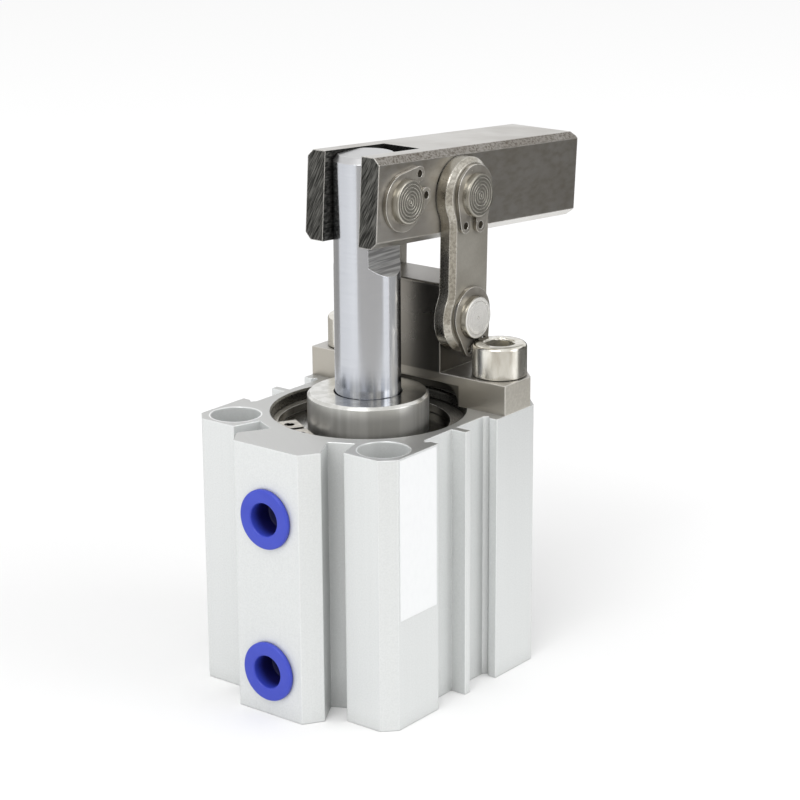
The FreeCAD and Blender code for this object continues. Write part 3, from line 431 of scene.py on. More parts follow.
def lever_plating(tints):
    """Nickel over a milled bar, with its sawn fork ends left dark, painted shade on its upright
    sides, in gaps and down the fork slot, a painted reflection on the bevels facing down and painted
    edge highlights.
    """
    f = Finish("lever_plating")
    hollow_shade = f.hollow(1.6, 0.35, 0.75)
    edge = f.round_edges(0.34) * (1 - hollow_shade)
    aslant = abs(f.ny).rise(0.35, 0.55)
    bevel = f.nz.rise(0.35, 0.55) * aslant
    low_bevel_reflection = (-f.nz).rise(0.35, 0.55) * aslant
    side = abs(f.ny).rise(0.85, 0.95)
    sawn = (-f.nx).rise(0.7, 0.9) * (1 - f.x.rise(FORK_END + 3.4, FORK_END + 5.4))
    slot = ((1 - abs(f.y).rise(FORK_HALF, FORK_HALF + 0.15))
            * (1 - f.x.rise(FORK_BOTTOM, FORK_BOTTOM + 0.2))
            * (1 - abs(f.nz).rise(0.5, 0.8)) * (1 - sawn))
    slot_depth = f.x.rise(FORK_END + 1.15, FORK_END + 3.55)
    rough_cut = (sawn + slot).rise(0.0, 1.0)
    glow = side * (1 - f.x.rise(7.0, 18.0)) * (1 - f.z.rise(82.0, 97.0)) * (1 - slot)
    cloud = f.noise(0.09, (1.0, 1.0, 1.6), 3.0)
    patch = f.noise(0.4, (1.0, 1.0, 2.2), 4.0)
    speck = f.noise(2.3, detail=4.0)
    ground = f.noise(1.0, (0.05, 2.6, 2.6))
    along_teeth, across_teeth = f.y * 0.45 - f.z * 0.9, f.y * 0.9 + f.z * 0.45
    saw = f.noise(1.0, (1.0, 0.35, 6.0), 4.0, f.vector(f.x, along_teeth, across_teeth))
    f.bump(ground * (1 - rough_cut) * 0.3 + speck * bevel * 0.7 + saw * rough_cut * 1.8, 0.02)
    tint = f.mix(cloud.rise(0.35, 0.7), tints.plating, tints.plating_shade)
    # Painted shade: the upright sides are darker than the top
    tint = f.mix(side * 0.2, tint, tints.plating_side_shade)
    tint = f.mix(side * patch.rise(0.35, 0.8) * (1 - glow * 0.6) * 0.4, tint, (0.24, 0.19, 0.125))
    tint = f.mix(bevel * (0.5 + speck.rise(0.42, 0.66) * 0.45), tint, (0.11, 0.092, 0.07))
    # Painted reflection: the bevels facing down are lighter
    tint = f.mix(low_bevel_reflection * 0.5, tint, (0.88, 0.87, 0.84))
    # Painted shade in the gaps round the pins and clips
    tint = f.mix(hollow_shade * 0.8, tint, GAP_SHADE)
    teeth = f.mix(saw.rise(0.35, 0.72), (0.022, 0.022, 0.020), (0.17, 0.167, 0.155))
    tint = f.mix(rough_cut, tint, teeth)
    # Painted shade deeper down the fork slot
    tint = f.mix(slot * slot_depth * 0.75, tint, (0.008, 0.008, 0.008))
    # Painted highlight along the rounded edges
    tint = f.mix(edge * (0.55 + sawn * 0.25) * (1 - slot), tint, NICKEL_EDGE_HIGHLIGHT)
    rough = 0.25 + cloud * 0.1 + bevel * 0.16 + rough_cut * 0.25 + ground * 0.07
    metal = 1.0 - glow * 0.12 - side * 0.14 - edge * 0.2
    return f.done(Base_Color=tint, Roughness=rough, Metallic=metal)


def link_plating(tints):
    """Nickel on the stamped side links: matt tumbled faces, mottled bevels, painted shade on the side
    walls and in gaps, a painted reflection on the bevels facing +X and painted edge highlights.
    """
    f = Finish("link_plating")
    hollow_shade = f.hollow(1.6, 0.35, 0.75)
    edge = f.round_edges(0.34) * (1 - hollow_shade)
    face = abs(f.ny).rise(0.9, 0.97)
    bevel = (1 - face) * abs(f.ny).rise(0.3, 0.5)
    cloud = f.noise(0.14, detail=4.0)
    speck = f.noise(2.0, detail=4.0)
    f.bump(speck * (0.4 + bevel * 0.4), 0.02)
    tint = f.mix(cloud.rise(0.3, 0.75), tints.link, tints.link_shade)
    tint = f.mix((speck - 0.35) * 0.35, tint, (0.25, 0.23, 0.19))
    # Painted shade: the side walls are darker than the faces
    tint = f.mix((1 - face) * (1 - bevel) * (0.4 + speck * 0.3), tint, (0.19, 0.17, 0.13))
    tint = f.mix(bevel * speck.rise(0.4, 0.65) * 0.45, tint, (0.17, 0.15, 0.12))
    # Painted reflection on the bevels that face +X
    tint = f.mix(bevel * f.nx.rise(0.2, 0.5) * 0.7, tint, NICKEL_EDGE_HIGHLIGHT)
    # Painted shade in the gaps
    tint = f.mix(hollow_shade * 0.8, tint, GAP_SHADE)
    # Painted highlight along the rounded edges
    tint = f.mix(edge * 0.7, tint, NICKEL_EDGE_HIGHLIGHT)
    rough = 0.2 + speck * 0.12 + face * 0.14
    return f.done(Base_Color=tint, Roughness=rough, Metallic=1.0 - face * 0.3 - edge * 0.3)


def bracket_plating(tints):
    """Nickel on the milled bracket, with painted shade on its upright faces and in the relief and
    gaps, darker on the faces round the rod, and painted edge highlights.
    """
    f = Finish("bracket_plating")
    hollow_shade = f.hollow(2.0, 0.35, 0.8)
    top = f.nz.rise(0.8, 0.95)
    block = f.z.rise(PLATE_TOP - 0.1, PLATE_TOP + 0.2) * (1 - top)
    block_top = f.z.rise(PLATE_TOP + 4.4, PLATE_TOP + 5.4) * top
    edge = f.round_edges(0.34, sharp_hollows=True) * (1 - f.corner()) * (1 - block * 0.75)
    relief = ((1 - f.z.rise(RELIEF_TOP - 0.2, RELIEF_TOP + 0.1))
              * (1 - abs(f.y).rise(RELIEF_HALF, RELIEF_HALF + 0.3))
              * (1 - f.nx.rise(0.2, 0.5)))
    end = abs(f.ny).rise(0.85, 0.95) * (1 - block)
    cloud = f.noise(0.1, detail=3.0)
    speck = f.noise(1.9, detail=4.0)
    marks = f.noise(1.0, (2.2, 0.05, 2.2))
    f.bump(marks * 0.3 + speck * (1 - block) * 0.3, 0.018)
    tint = f.mix(cloud.rise(0.3, 0.7), tints.plating, tints.plating_shade)
    # Painted shade: the upright faces are darker than the tops
    tint = f.mix((1 - top) * 0.5, tint, tints.plating_side_shade)
    # Painted shade on the block's upright faces and on its top, round the rod
    tint = f.mix(block * 0.75, tint, (0.15, 0.14, 0.125))
    tint = f.mix(block_top * 0.55, tint, (0.14, 0.13, 0.12))
    tint = f.mix(end * (0.5 + speck.rise(0.35, 0.7) * 0.5), tint, tints.link)
    # Painted shade in the relief and in the gaps
    tint = f.mix(relief * 0.75, tint, (0.035, 0.034, 0.03))
    tint = f.mix(hollow_shade * 0.7, tint, (0.025, 0.024, 0.02))
    # Painted highlight along the rounded edges, weaker on the block
    tint = f.mix(edge * (1 - relief) * 0.75, tint, NICKEL_EDGE_HIGHLIGHT)
    rough = 0.3 + cloud * 0.12 - block * 0.08
    return f.done(Base_Color=tint, Roughness=rough, Metallic=1.0 - end * 0.5 - edge * 0.25)


def hard_chrome(tints):
    """Ground chrome rod, with milled flats at its tongue, a painted reflection of the dark block on
    its back, a painted reflection of the dark bore at its foot, a painted light stripe along its
    flank, painted shade in gaps and painted edge highlights.
    """
    f = Finish("hard_chrome")
    edge = f.round_edges(0.15)
    hollow_shade = f.hollow(1.5, 0.4, 0.8)
    foot = (f.nz.rise(0.45, 0.6) * f.z.rise(FLATS_FOOT - 2.6, FLATS_FOOT - 2.3)
            * (1 - f.z.rise(FLATS_FOOT + 0.3, FLATS_FOOT + 0.6)))
    cut = (abs(f.ny).rise(0.92, 0.98) * f.z.rise(FLATS_FOOT - 0.3, FLATS_FOOT)
           * (1 - abs(f.y).rise(TONGUE_HALF + 0.03, TONGUE_HALF + 0.15)))
    top = f.nz.rise(0.5, 0.65) * f.z.rise(FLATS_FOOT + 12.4, FLATS_FOOT + 13.4)
    milled = (foot + cut).rise(0.0, 1.0)
    ground = f.noise(1.0, (0.25, 0.25, 3.0))
    streak = f.noise(1.0, (0.9, 0.9, 0.03))
    mill = f.noise(1.0, (0.1, 1.0, 2.6), 3.0)
    f.bump(ground * (1 - milled) * 0.12 + mill * milled, 0.014)
    # Masks of painted reflections: the dark bracket block on the back, the dark bore at the foot, and
    # a light stripe along the flank
    back = f.nx.rise(0.08, 0.4) * (1 - f.z.rise(FLATS_FOOT - 1.6, FLATS_FOOT + 0.4))
    flank_highlight = abs(f.ny).rise(0.965, 0.995) * (1 - milled)
    boss_reflection = (1 - f.z.rise(BOSS_TOP, BOSS_TOP + 6.5)) * streak.rise(0.3, 0.6)
    tint = f.mix(ground * 0.3 + streak * 0.3, tints.chrome, tints.chrome_shade)
    # Painted reflections of the block and of the bore, and the painted light stripe
    tint = f.mix(back * 0.8, tint, (0.04, 0.045, 0.06))
    tint = f.mix(boss_reflection * 0.5, tint, (0.08, 0.11, 0.19))
    tint = f.mix(flank_highlight * 0.6, tint, (0.85, 0.86, 0.88))
    cut_marks = f.mix(mill.rise(0.35, 0.6), (0.50, 0.50, 0.50), (0.24, 0.24, 0.24))
    tint = f.mix(milled, tint, cut_marks)
    tint = f.mix(top * 0.5, tint, tints.plating)
    # Painted shade in the gaps
    tint = f.mix(hollow_shade * 0.6, tint, (0.03, 0.03, 0.035))
    # Painted highlight along the rounded edges
    tint = f.mix(edge * 0.6, tint, (0.92, 0.92, 0.92))
    rough = 0.15 + milled * 0.2 + top * 0.14 + ground * 0.05
    return f.done(Base_Color=tint, Roughness=rough, Metallic=1.0 - milled * 0.5 - flank_highlight * 0.4)


def pin_steel(name, x, z, end_highlight, tints):
    """Turned pin about an axis along Y through x, z, with painted shade on its side, a painted
    highlight on its ends of the given share and painted edge highlights.
    """
    f = Finish(name)
    edge = f.round_edges(0.14)
    radius = ((f.x - x) ** 2 + (f.z - z) ** 2).root()
    end = abs(f.ny).rise(0.8, 0.95)
    rings = f.noise(1.0, (2.4, 0.5, 1.0), at=f.vector(radius, f.y, 0.0))
    cloud = f.noise(0.3)
    f.bump(rings, 0.01)
    tint = f.mix(rings.rise(0.35, 0.7) * 0.45 + cloud * 0.2, tints.pin, tints.pin_shade)
    # Painted shade: the pin's side is darker than its ends
    tint = f.mix((1 - end) * 0.7, tint, (0.15, 0.135, 0.105))
    # Painted highlight on the ends
    tint = f.mix(end * end_highlight, tint, (0.84, 0.83, 0.80))
    # Painted highlight along the rounded edges
    tint = f.mix(edge * 0.7, tint, STEEL_EDGE_HIGHLIGHT)
    metal = 1.0 - end * (0.15 + end_highlight * 0.6)
    return f.done(Base_Color=tint, Roughness=0.2 + rings * 0.14, Metallic=metal)


def spring_steel(tints):
    """Stamped rings and clips, plated and tumbled, with painted shade in gaps, down in the bore and
    on their side walls, and painted edge highlights.
    """
    f = Finish("spring_steel")
    edge = f.round_edges(0.15)
    in_bore = f.hollow(16.0, 0.6, 0.9) * (1 - f.z.rise(BODY_TOP - 2.0, BODY_TOP))
    hollow_shade = f.hollow(0.8, 0.5, 0.85) * 0.7 + in_bore
    face = (abs(f.ny).rise(0.9, 0.97) + abs(f.nz).rise(0.9, 0.97)).rise(0.0, 1.0)
    speck = f.noise(1.4, detail=3.0)
    cloud = f.noise(0.4)
    f.bump(speck, 0.01)
    tint = f.mix(cloud.rise(0.3, 0.7), tints.clip, tints.clip_shade)
    # Painted shade in the gaps and down in the bore
    tint = f.mix(hollow_shade.rise(0.0, 1.0) * 0.85, tint, (0.015, 0.014, 0.012))
    # Painted shade: the side walls are darker than the faces
    tint = f.mix((1 - face) * 0.6, tint, (0.12, 0.11, 0.09))
    # Painted highlight along the rounded edges
    tint = f.mix(edge * 0.8, tint, STEEL_EDGE_HIGHLIGHT)
    metal = 1.0 - edge * 0.25 - face * 0.3
    return f.done(Base_Color=tint, Roughness=0.2 + speck * 0.1, Metallic=metal)


def bright_nickel(tints):
    """Polished nickel on the cap screws, with painted shade down in their sockets and painted edge
    highlights.
    """
    f = Finish("bright_nickel")
    edge = f.round_edges(0.15)
    hollow_shade = f.hollow(3.5, 0.3, 0.75)
    side = 1 - abs(f.nz).rise(0.2, 0.6)
    speck = f.noise(0.8, (1.0, 1.0, 0.3), 3.0)
    f.bump(speck, 0.012)
    tint = f.mix(speck.rise(0.3, 0.75), tints.screw, tints.screw_shade)
    # Painted shade down in the sockets
    tint = f.mix(hollow_shade * 0.85, tint, (0.10, 0.09, 0.06))
    # Painted highlight along the rounded edges
    tint = f.mix(edge * 0.5, tint, (0.95, 0.94, 0.90))
    rough = 0.11 + speck * 0.08 + hollow_shade * 0.1 + side * 0.07
    return f.done(Base_Color=tint, Roughness=rough, Metallic=1.0 - side * (1 - hollow_shade) * 0.1)


def rubber(name, tint, tint_shade):
    """Moulded rubber with a dusty bloom and painted highlights along its edges."""
    f = Finish(name)
    edge = f.round_edges(0.15)
    grain = f.noise(2.2, detail=3.0)
    bloom = f.noise(0.3)
    f.bump(grain, 0.012)
    # The bloom is dust; the edges get a painted highlight
    mixed = f.mix(bloom.rise(0.35, 0.75) * 0.6 + edge * 0.3, tint, tint_shade)
    return f.done(Base_Color=mixed, Roughness=0.6 + grain * 0.2, Metallic=0.0)


def sintered(name, tint, tint_shade, metallic):
    """Pressed powder: fine pores all over, and painted highlights along its edges."""
    f = Finish(name)
    edge = f.round_edges(0.15)
    pores = f.noise(3.2, detail=3.0)
    f.bump(pores.rise(0.45, 0.6), 0.02)
    mixed = f.mix(pores.rise(0.4, 0.65), tint_shade, tint)
    # Painted highlight along the rounded edges
    mixed = f.mix(edge * 0.3, mixed, tint)
    return f.done(Base_Color=mixed, Roughness=0.5 - pores * 0.15, Metallic=metallic)


def plug_plastic(tints, reach):
    """Soft blue plastic, with painted shade down in the hollow and in gaps, and painted edge
    highlights.
    """
    f = Finish("plug_plastic")
    edge = f.round_edges(0.2)
    depth = f.x.rise(-reach + 0.1, -reach + 2.8)
    grain = f.noise(1.8, detail=3.0)
    flow = f.noise(0.25)
    f.bump(grain, 0.008)
    tint = f.mix(flow.rise(0.3, 0.7) * 0.4, tints.plug, tints.plug_shade)
    # Painted shade down in the hollow and in the gaps
    tint = f.mix(depth, tint, tints.plug_hollow_shade)
    tint = f.mix(f.hollow(2.0) * 0.7, tint, tints.plug_hollow_shade)
    # Painted highlight along the rounded edges
    tint = f.mix(edge * 0.3 * (1 - depth), tint, (0.10, 0.13, 0.70))
    return f.done(Base_Color=tint, Roughness=0.38 + grain * 0.1, Metallic=0.0)


def label_film(tints):
    """White film with a faint paper grain."""
    f = Finish("label_film")
    edge = f.round_edges(0.1)
    fibre = f.noise(1.2, (1.0, 1.0, 0.5), 3.0)
    f.bump(fibre, 0.006)
    tint = f.mix(fibre.rise(0.3, 0.8) * 0.3 + edge * 0.2, tints.label, (0.80, 0.81, 0.82))
    return f.done(Base_Color=tint, Roughness=0.3 + fibre * 0.12, Metallic=0.0)


# Sizes and colours that a user would change

class ClampTints(bpy.types.PropertyGroup):
    """Colours of the clamp's finishes."""
    body: colour("Body", "Blasted and anodised walls of the body", (0.77, 0.785, 0.78))
    body_shade: colour("Body shade", "Darker grains of those walls", (0.64, 0.655, 0.65))
    # The body hollows colour is a painted shade in the slots and bolt seats
    body_hollow_shade: colour("Body hollows", "Depths of the slots and bolt seats", (0.17, 0.17, 0.17))
    milled: colour("Milled faces", "Milled ends of the body", (0.52, 0.52, 0.51))
    # The bore colour is dark as a painted shade down the bore
    bore: colour("Bore", "Machined wall of the bore's mouths", (0.20, 0.198, 0.18))
    cover: colour("Covers", "Turned end covers", (0.76, 0.755, 0.73))
    cover_shade: colour("Cover shade", "Tool rings of the covers", (0.46, 0.455, 0.42))
    plating: colour("Plating", "Nickel of lever and bracket", (0.56, 0.545, 0.52))
    plating_shade: colour("Plating shade", "Cloudy patches of that nickel", (0.46, 0.44, 0.41))
    # The sides colour is a painted shade on upright faces
    plating_side_shade: colour("Plating, sides", "Upright faces of lever and bracket", (0.33, 0.295, 0.225))
    link: colour("Links", "Nickel of the side links", (0.56, 0.535, 0.475))
    link_shade: colour("Link shade", "Cloudy patches of the links", (0.44, 0.415, 0.36))
    chrome: colour("Chrome", "Chrome of the piston rod", (0.60, 0.615, 0.645))
    chrome_shade: colour("Chrome shade", "Grinding lines of the rod", (0.38, 0.395, 0.435))
    pin: colour("Pins", "Turned pins", (0.53, 0.51, 0.455))
    pin_shade: colour("Pin shade", "Tool rings of the pins", (0.31, 0.295, 0.25))
    clip: colour("Clips", "Retaining rings and clips", (0.62, 0.59, 0.53))
    clip_shade: colour("Clip shade", "Cloudy patches of the clips", (0.44, 0.41, 0.36))
    screw: colour("Screws", "Nickel of the cap screws", (0.80, 0.78, 0.72))
    screw_shade: colour("Screw shade", "Dull patches of the screws", (0.62, 0.59, 0.52))
    plug: colour("Plugs", "Blue plastic of the port plugs", (0.042, 0.068, 0.53))
    plug_shade: colour("Plug shade", "Flow marks of the plugs", (0.030, 0.048, 0.45))
    # The plug hollow colour is a painted shade down in the hollow
    plug_hollow_shade: colour("Plug hollow", "Bottom of the plugs' hollows", (0.006, 0.006, 0.09))
    label: colour("Label", "Blank film label", (0.87, 0.88, 0.885))


SCREW_LOW, SCREW_HIGH = node_box("bracket_screw_left")
PIN_LOW, PIN_HIGH = node_box("lower_pin")
PLUG_LOW, PLUG_HIGH = node_box("port_plug_upper")
HEAD_BEVEL = 0.15 * MM


class ScrewSizes(bpy.types.PropertyGroup):
    """Sizes of the two socket head cap screws."""
    head: length("Head", "Diameter of the head", 10.0)
    head_height: length("Head height", "Height of the head", 6.0)
    rim: length("Rim", "Rounding of the head's upper edge", 0.7)
    socket: length("Socket", "Width of the hexagon across its flats", 5.0)
    socket_depth: length("Socket depth", "Depth of the hexagon", 3.0)
    thread: length("Thread", "Diameter of the threaded shank", 5.9)
    pitch: length("Pitch", "Pitch of the thread", 1.0)


class PinSizes(bpy.types.PropertyGroup):
    """Sizes of the three turned pins."""
    diameter: length("Diameter", "Diameter of a pin", PIN_HIGH.x - PIN_LOW.x)
    chamfer: length("Chamfer", "Chamfer round a pin's end", 0.5)
    ring_pitch: length("Ring pitch", "Distance between the tool rings on a pin's end", 0.62)
    ring_depth: length("Ring depth", "Depth of those tool rings", 0.05)


class PlugSizes(bpy.types.PropertyGroup):
    """Sizes of the two port plugs."""
    flange_thickness: length("Flange", "Thickness of the flange", 0.9)
    stem: length("Stem", "Diameter of the stem in the port", 8.56)
    hollow: length("Hollow", "Diameter of the hollow", 6.0)
    hollow_depth: length("Hollow depth", "Depth of the hollow", 4.8)
    rim: length("Rim", "Rounding of the flange's edges", 0.35)


class StageSizes(bpy.types.PropertyGroup):
    """Camera, light and floor of the studio."""
    lens: FloatProperty(name="Lens", description="Focal length of the camera", default=106.01,
                        subtype="DISTANCE_CAMERA", unit="CAMERA")
    floor: length("Floor", "Radius of the floor", 3000.0)
    daylight: share("Daylight", "Level of the soft light from all round", 0.82)
    flag: share("Dark card", "Brightness of the side card that the metal reflects", 0.07)
    front_flag: share("Grey card", "Brightness of the front card that the metal reflects", 0.68)
    left_flag: share("Left card", "Brightness of the left card that the metal reflects", 0.476)


class ClampSettings(bpy.types.PropertyGroup):
    """Everything that the clamp's operators read."""
    tints: PointerProperty(type=ClampTints, name="Tints", description="Colours of the finishes")
    screws: PointerProperty(type=ScrewSizes, name="Screws", description="Cap screws")
    pins: PointerProperty(type=PinSizes, name="Pins", description="Turned pins")
    plugs: PointerProperty(type=PlugSizes, name="Plugs", description="Port plugs")
    stage: PointerProperty(type=StageSizes, name="Stage", description="Studio")


def settings():
    return bpy.context.scene.clamp_settings


def rounding(radius, height, rim, way=1.0):
    """Lathe stations over an outer edge, or down into a hollow where way is -1."""
    stations = []
    for turn in range(0, 91, 18):
        a = math.radians(turn)
        stations.append((radius - rim * ((1 - math.cos(a)) * way), height - rim * (1 - math.sin(a))))
    return stations if way > 0 else stations[::-1]


# Operators

class CLAMP_OT_body(bpy.types.Operator):
    """Finishes the cylinder body, its covers, rings and seals"""
    bl_idname = "clamp.body"
    bl_label = "Finish the body"

    def execute(self, context):
        tints = settings().tints
        dress(anodised_aluminium(tints), "body_aluminium", "cylinder_body")
        dress(turned_aluminium(tints), "cover_aluminium", "front_cover", "rear_cover")
        steel = spring_steel(tints)
        dress(steel, "clip_steel", "front_retaining_ring", "rear_retaining_ring")
        black = rubber("seal_rubber", (0.012, 0.012, 0.013), (0.05, 0.05, 0.05))
        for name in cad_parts:
            if name.endswith("_seal"):
                dress(black, "seal_rubber", name)
        amber = rubber("bumper_rubber", (0.33, 0.10, 0.02), (0.48, 0.20, 0.06))
        dress(amber, "bumper_rubber", "front_bumper", "rear_bumper")
        bronze = sintered("sintered_bronze", (0.58, 0.36, 0.16), (0.22, 0.12, 0.05), 1.0)
        dress(bronze, "bush_bronze", "rod_bush")
        return {"FINISHED"}


class CLAMP_OT_rod(bpy.types.Operator):
    """Finishes the piston rod and the piston"""
    bl_idname = "clamp.rod"
    bl_label = "Finish the rod"

    def execute(self, context):
        tints = settings().tints
        dress(hard_chrome(tints), "rod_chrome", "piston_rod")
        dress(turned_aluminium(tints), "cover_aluminium", "piston")
        magnet = sintered("magnet_compound", (0.10, 0.09, 0.085), (0.03, 0.028, 0.026), 0.2)
        dress(magnet, "magnet_compound", "magnet_ring")
        return {"FINISHED"}


class CLAMP_OT_linkage(bpy.types.Operator):
    """Finishes the lever, the side links, the bracket and their clips"""
    bl_idname = "clamp.linkage"
    bl_label = "Finish the linkage"

    def execute(self, context):
        tints = settings().tints
        dress(lever_plating(tints), "plated_steel", "clamp_lever")
        dress(link_plating(tints), "plated_steel", "side_link_near", "side_link_far")
        dress(bracket_plating(tints), "plated_steel", "clamp_bracket")
        steel = spring_steel(tints)
        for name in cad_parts:
            if "_clip_" in name:
                dress(steel, "clip_steel", name)
        return {"FINISHED"}


class CLAMP_OT_pins(bpy.types.Operator):
    """Makes the three turned pins, with tool rings on their ends"""
    bl_idname = "clamp.pins"
    bl_label = "Make the pins"

    def execute(self, context):
        sizes = settings().pins
        # The last number of each pin is the share of the painted highlight on its ends
        pins = (("rod_pin", "lever", 5, 0.0), ("fulcrum_pin", "links", 5, 0.0),
                ("lower_pin", "cylinder", 1, 0.9))
        for name, body, rings, end_highlight in pins:
            low, high = node_box(name)
            middle = (low + high) / 2
            steel = pin_steel(name + "_steel", middle.x, middle.z, end_highlight, settings().tints)
            given = {"Diameter": sizes.diameter, "Half length": (high.y - low.y) / 2 * MM,
                     "Chamfer": sizes.chamfer, "Ring pitch": sizes.ring_pitch,
                     "Ring depth": sizes.ring_depth}
            pin = Shape(name, given)
            radius, half = pin["Diameter"] * 0.5, pin["Half length"]
            chamfer, pitch, depth = pin["Chamfer"], pin["Ring pitch"], pin["Ring depth"]
            mesh, top, bottom = pin.rod(radius, -1.0 * (half - chamfer), half - chamfer, 72)
            stations = [(radius, half - chamfer), (radius - chamfer * 0.25, half - chamfer * 0.35),
                        (radius - chamfer * 0.55, half - chamfer * 0.1), (radius - chamfer, half)]
            rim = radius - chamfer
            for ring in range(rings):
                outer = rim - pitch * (ring + 0.35)
                stations += [(outer, half), (outer - pitch * 0.15, half - depth),
                             (outer - pitch * 0.3, half - depth), (outer - pitch * 0.45, half)]
            stations += [(rim * 0.08, half), (rim * 0.03, half - depth * 2.0)]
            mesh, _ = pin.turn(mesh, top, stations)
            mesh, _ = pin.turn(mesh, bottom, stations, -1.0)
            tree = pin.done(mesh, steel, middle * MM, rotation=(math.pi / 2, 0.0, 0.0))
            grow(name + "_turned", tree, given, body, "pin_steel", name)
        return {"FINISHED"}


class CLAMP_OT_screws(bpy.types.Operator):
    """Makes the two socket head cap screws of the bracket"""
    bl_idname = "clamp.screws"
    bl_label = "Make the screws"

    def execute(self, context):
        sizes = settings().screws
        nickel = bright_nickel(settings().tints)
        seat = SCREW_HIGH.z * MM - sizes.head_height
        given = {"Head": sizes.head, "Head height": sizes.head_height, "Rim": sizes.rim,
                 "Socket": sizes.socket, "Socket depth": sizes.socket_depth,
                 "Thread": sizes.thread, "Pitch": sizes.pitch,
                 "Shank": seat - SCREW_LOW.z * MM}
        screw = Shape("cap_screw", given)
        radius, height, rim = screw["Head"] * 0.5, screw["Head height"], screw["Rim"]
        thread, pitch, shank = screw["Thread"] * 0.5, screw["Pitch"], screw["Shank"]

        # Thread: the shank's points step in and out with their turn and height
        mesh, top, _ = screw.rod(thread, -1.0 * shank, 0.0, 72, 160)
        x, y, z = screw.position()
        around = y.math("ARCTAN2", y, x)
        phase = z / pitch - around * (0.5 / math.pi)
        wave = phase.math("PINGPONG", phase, 0.5) * 2.0
        runout = 1 - (z / pitch).rise(-2.5, -1.5)
        tip = 1 - ((z + shank) / pitch).rise(0.0, 0.7)
        reach = thread - pitch * (wave * runout * 0.5 + tip * 0.3)
        from_axis = (x * x + y * y).root()
        outside = from_axis.math("GREATER_THAN", from_axis, thread * 0.9)
        mesh = screw.place_points(mesh, outside, reach * around.math("COSINE", around),
                                  reach * around.math("SINE", around), z)
        corner = screw["Socket"] * (0.5 / math.cos(math.pi / 6))
        stations = [(thread, 0.0), (radius - HEAD_BEVEL, 0.0), (radius, HEAD_BEVEL),
                    *rounding(radius, height, rim),
                    (corner * 1.03, height), (corner, height - HEAD_BEVEL * 0.8)]
        mesh, end = screw.turn(mesh, top, stations)

        # Socket: the last ring of points moves onto a hexagon and goes down,
        # with stations that are shares of the hexagon's size
        x, y, z = screw.position()
        around = y.math("ARCTAN2", y, x)
        sixth = math.pi / 3
        aside = around.math("FLOORED_MODULO", around, sixth) - sixth / 2
        reach = (screw["Socket"] * 0.5) / aside.math("COSINE", aside)
        grown = screw.node("GeometryNodeExtrudeMesh", None,
                           {"Mesh": mesh, "Selection": end, "Offset": UP, "Individual": False,
                            "Offset Scale": -0.1 * MM})
        mesh = screw.place_points(grown.outputs["Mesh"], grown.outputs["Top"],
                                  reach * around.math("COSINE", around),
                                  reach * around.math("SINE", around), z)
        depth = screw["Socket depth"]
        mesh, _ = screw.turn(mesh, grown.outputs["Top"], [
            (1.0, 0.0), (1.0, -1.0 * depth), (0.86, -1.0 * depth), (0.02, -1.25 * depth)])
        x, y, _ = node_middle("bracket_screw_right") * MM
        tree = screw.done(mesh, nickel, (x, y, seat), (0.0, -2 * y, 0.0), 2)
        grow("cap_screws", tree, given, "cylinder", "screw_nickel",
             "bracket_screw_left", "bracket_screw_right")
        dress(nickel, "screw_nickel", "piston_screw")
        return {"FINISHED"}


class CLAMP_OT_plugs(bpy.types.Operator):
    """Makes the two blue port plugs"""
    bl_idname = "clamp.plugs"
    bl_label = "Make the plugs"

    def execute(self, context):
        sizes = settings().plugs
        low, high = PLUG_LOW * MM, PLUG_HIGH * MM
        given = {"Flange": high.y - low.y, "Flange thickness": sizes.flange_thickness,
                 "Stem": sizes.stem, "Stem length": high.x - low.x - sizes.flange_thickness,
                 "Hollow": sizes.hollow, "Hollow depth": sizes.hollow_depth,
                 "Rim": sizes.rim}
        plug = Shape("port_plug", given)
        flange, thick, rim = plug["Flange"] * 0.5, plug["Flange thickness"], plug["Rim"]
        stem, hollow, depth = plug["Stem"] * 0.5, plug["Hollow"] * 0.5, plug["Hollow depth"]
        run = plug["Stem length"]
        mesh, top, _ = plug.rod(stem, -1.0 * run, 0.0, 96)
        stations = [(stem, 0.0), (flange - rim * 0.3, 0.0), (flange, rim * 0.3),
                    *rounding(flange, thick, rim), *rounding(hollow, thick, rim, -1.0),
                    (hollow * 0.97, thick - depth), (hollow * 0.85, thick - depth * 1.03),
                    (hollow * 0.1, thick - depth * 1.04)]
        mesh, _ = plug.turn(mesh, top, stations)
        upper, lower = node_middle("port_plug_upper"), node_middle("port_plug_lower")
        start = (low.x + sizes.flange_thickness, upper.y * MM, upper.z * MM)
        tree = plug.done(mesh, plug_plastic(settings().tints, -PLUG_LOW.x), start,
                         (0.0, 0.0, (lower.z - upper.z) * MM), 2, (0.0, -math.pi / 2, 0.0))
        grow("port_plugs", tree, given, "cylinder", "plug_plastic",
             "port_plug_upper", "port_plug_lower")
        return {"FINISHED"}


class CLAMP_OT_label(bpy.types.Operator):
    """Finishes the blank film label"""
    bl_idname = "clamp.label"
    bl_label = "Finish the label"

    def execute(self, context):
        dress(label_film(settings().tints), "label_film", "blank_label")
        return {"FINISHED"}


# Studio

EYE = (-317.823, -256.323, 176.172)
EYE_TURN, EYE_LIFT, EYE_ROLL = -51.922, 16.964, -0.3275
FLOOR_DROP = 0.05 * MM


def cleared_nodes(owner):
    """The emptied node tree of a material or a world."""
    owner.use_nodes = True
    made = Nodes(owner.node_tree)
    made.tree.nodes.clear()
    return made


def seen_rays(nodes):
    """1 for rays that show a thing, straight, mirrored or through glass, and 0 for its light."""
    rays = nodes.node("ShaderNodeLightPath")
    camera, glossy, through = [Reading(nodes, rays.outputs["Is %s Ray" % kind])
                               for kind in ("Camera", "Glossy", "Transmission")]
    return (camera + glossy + through).rise(0.0, 1.0)


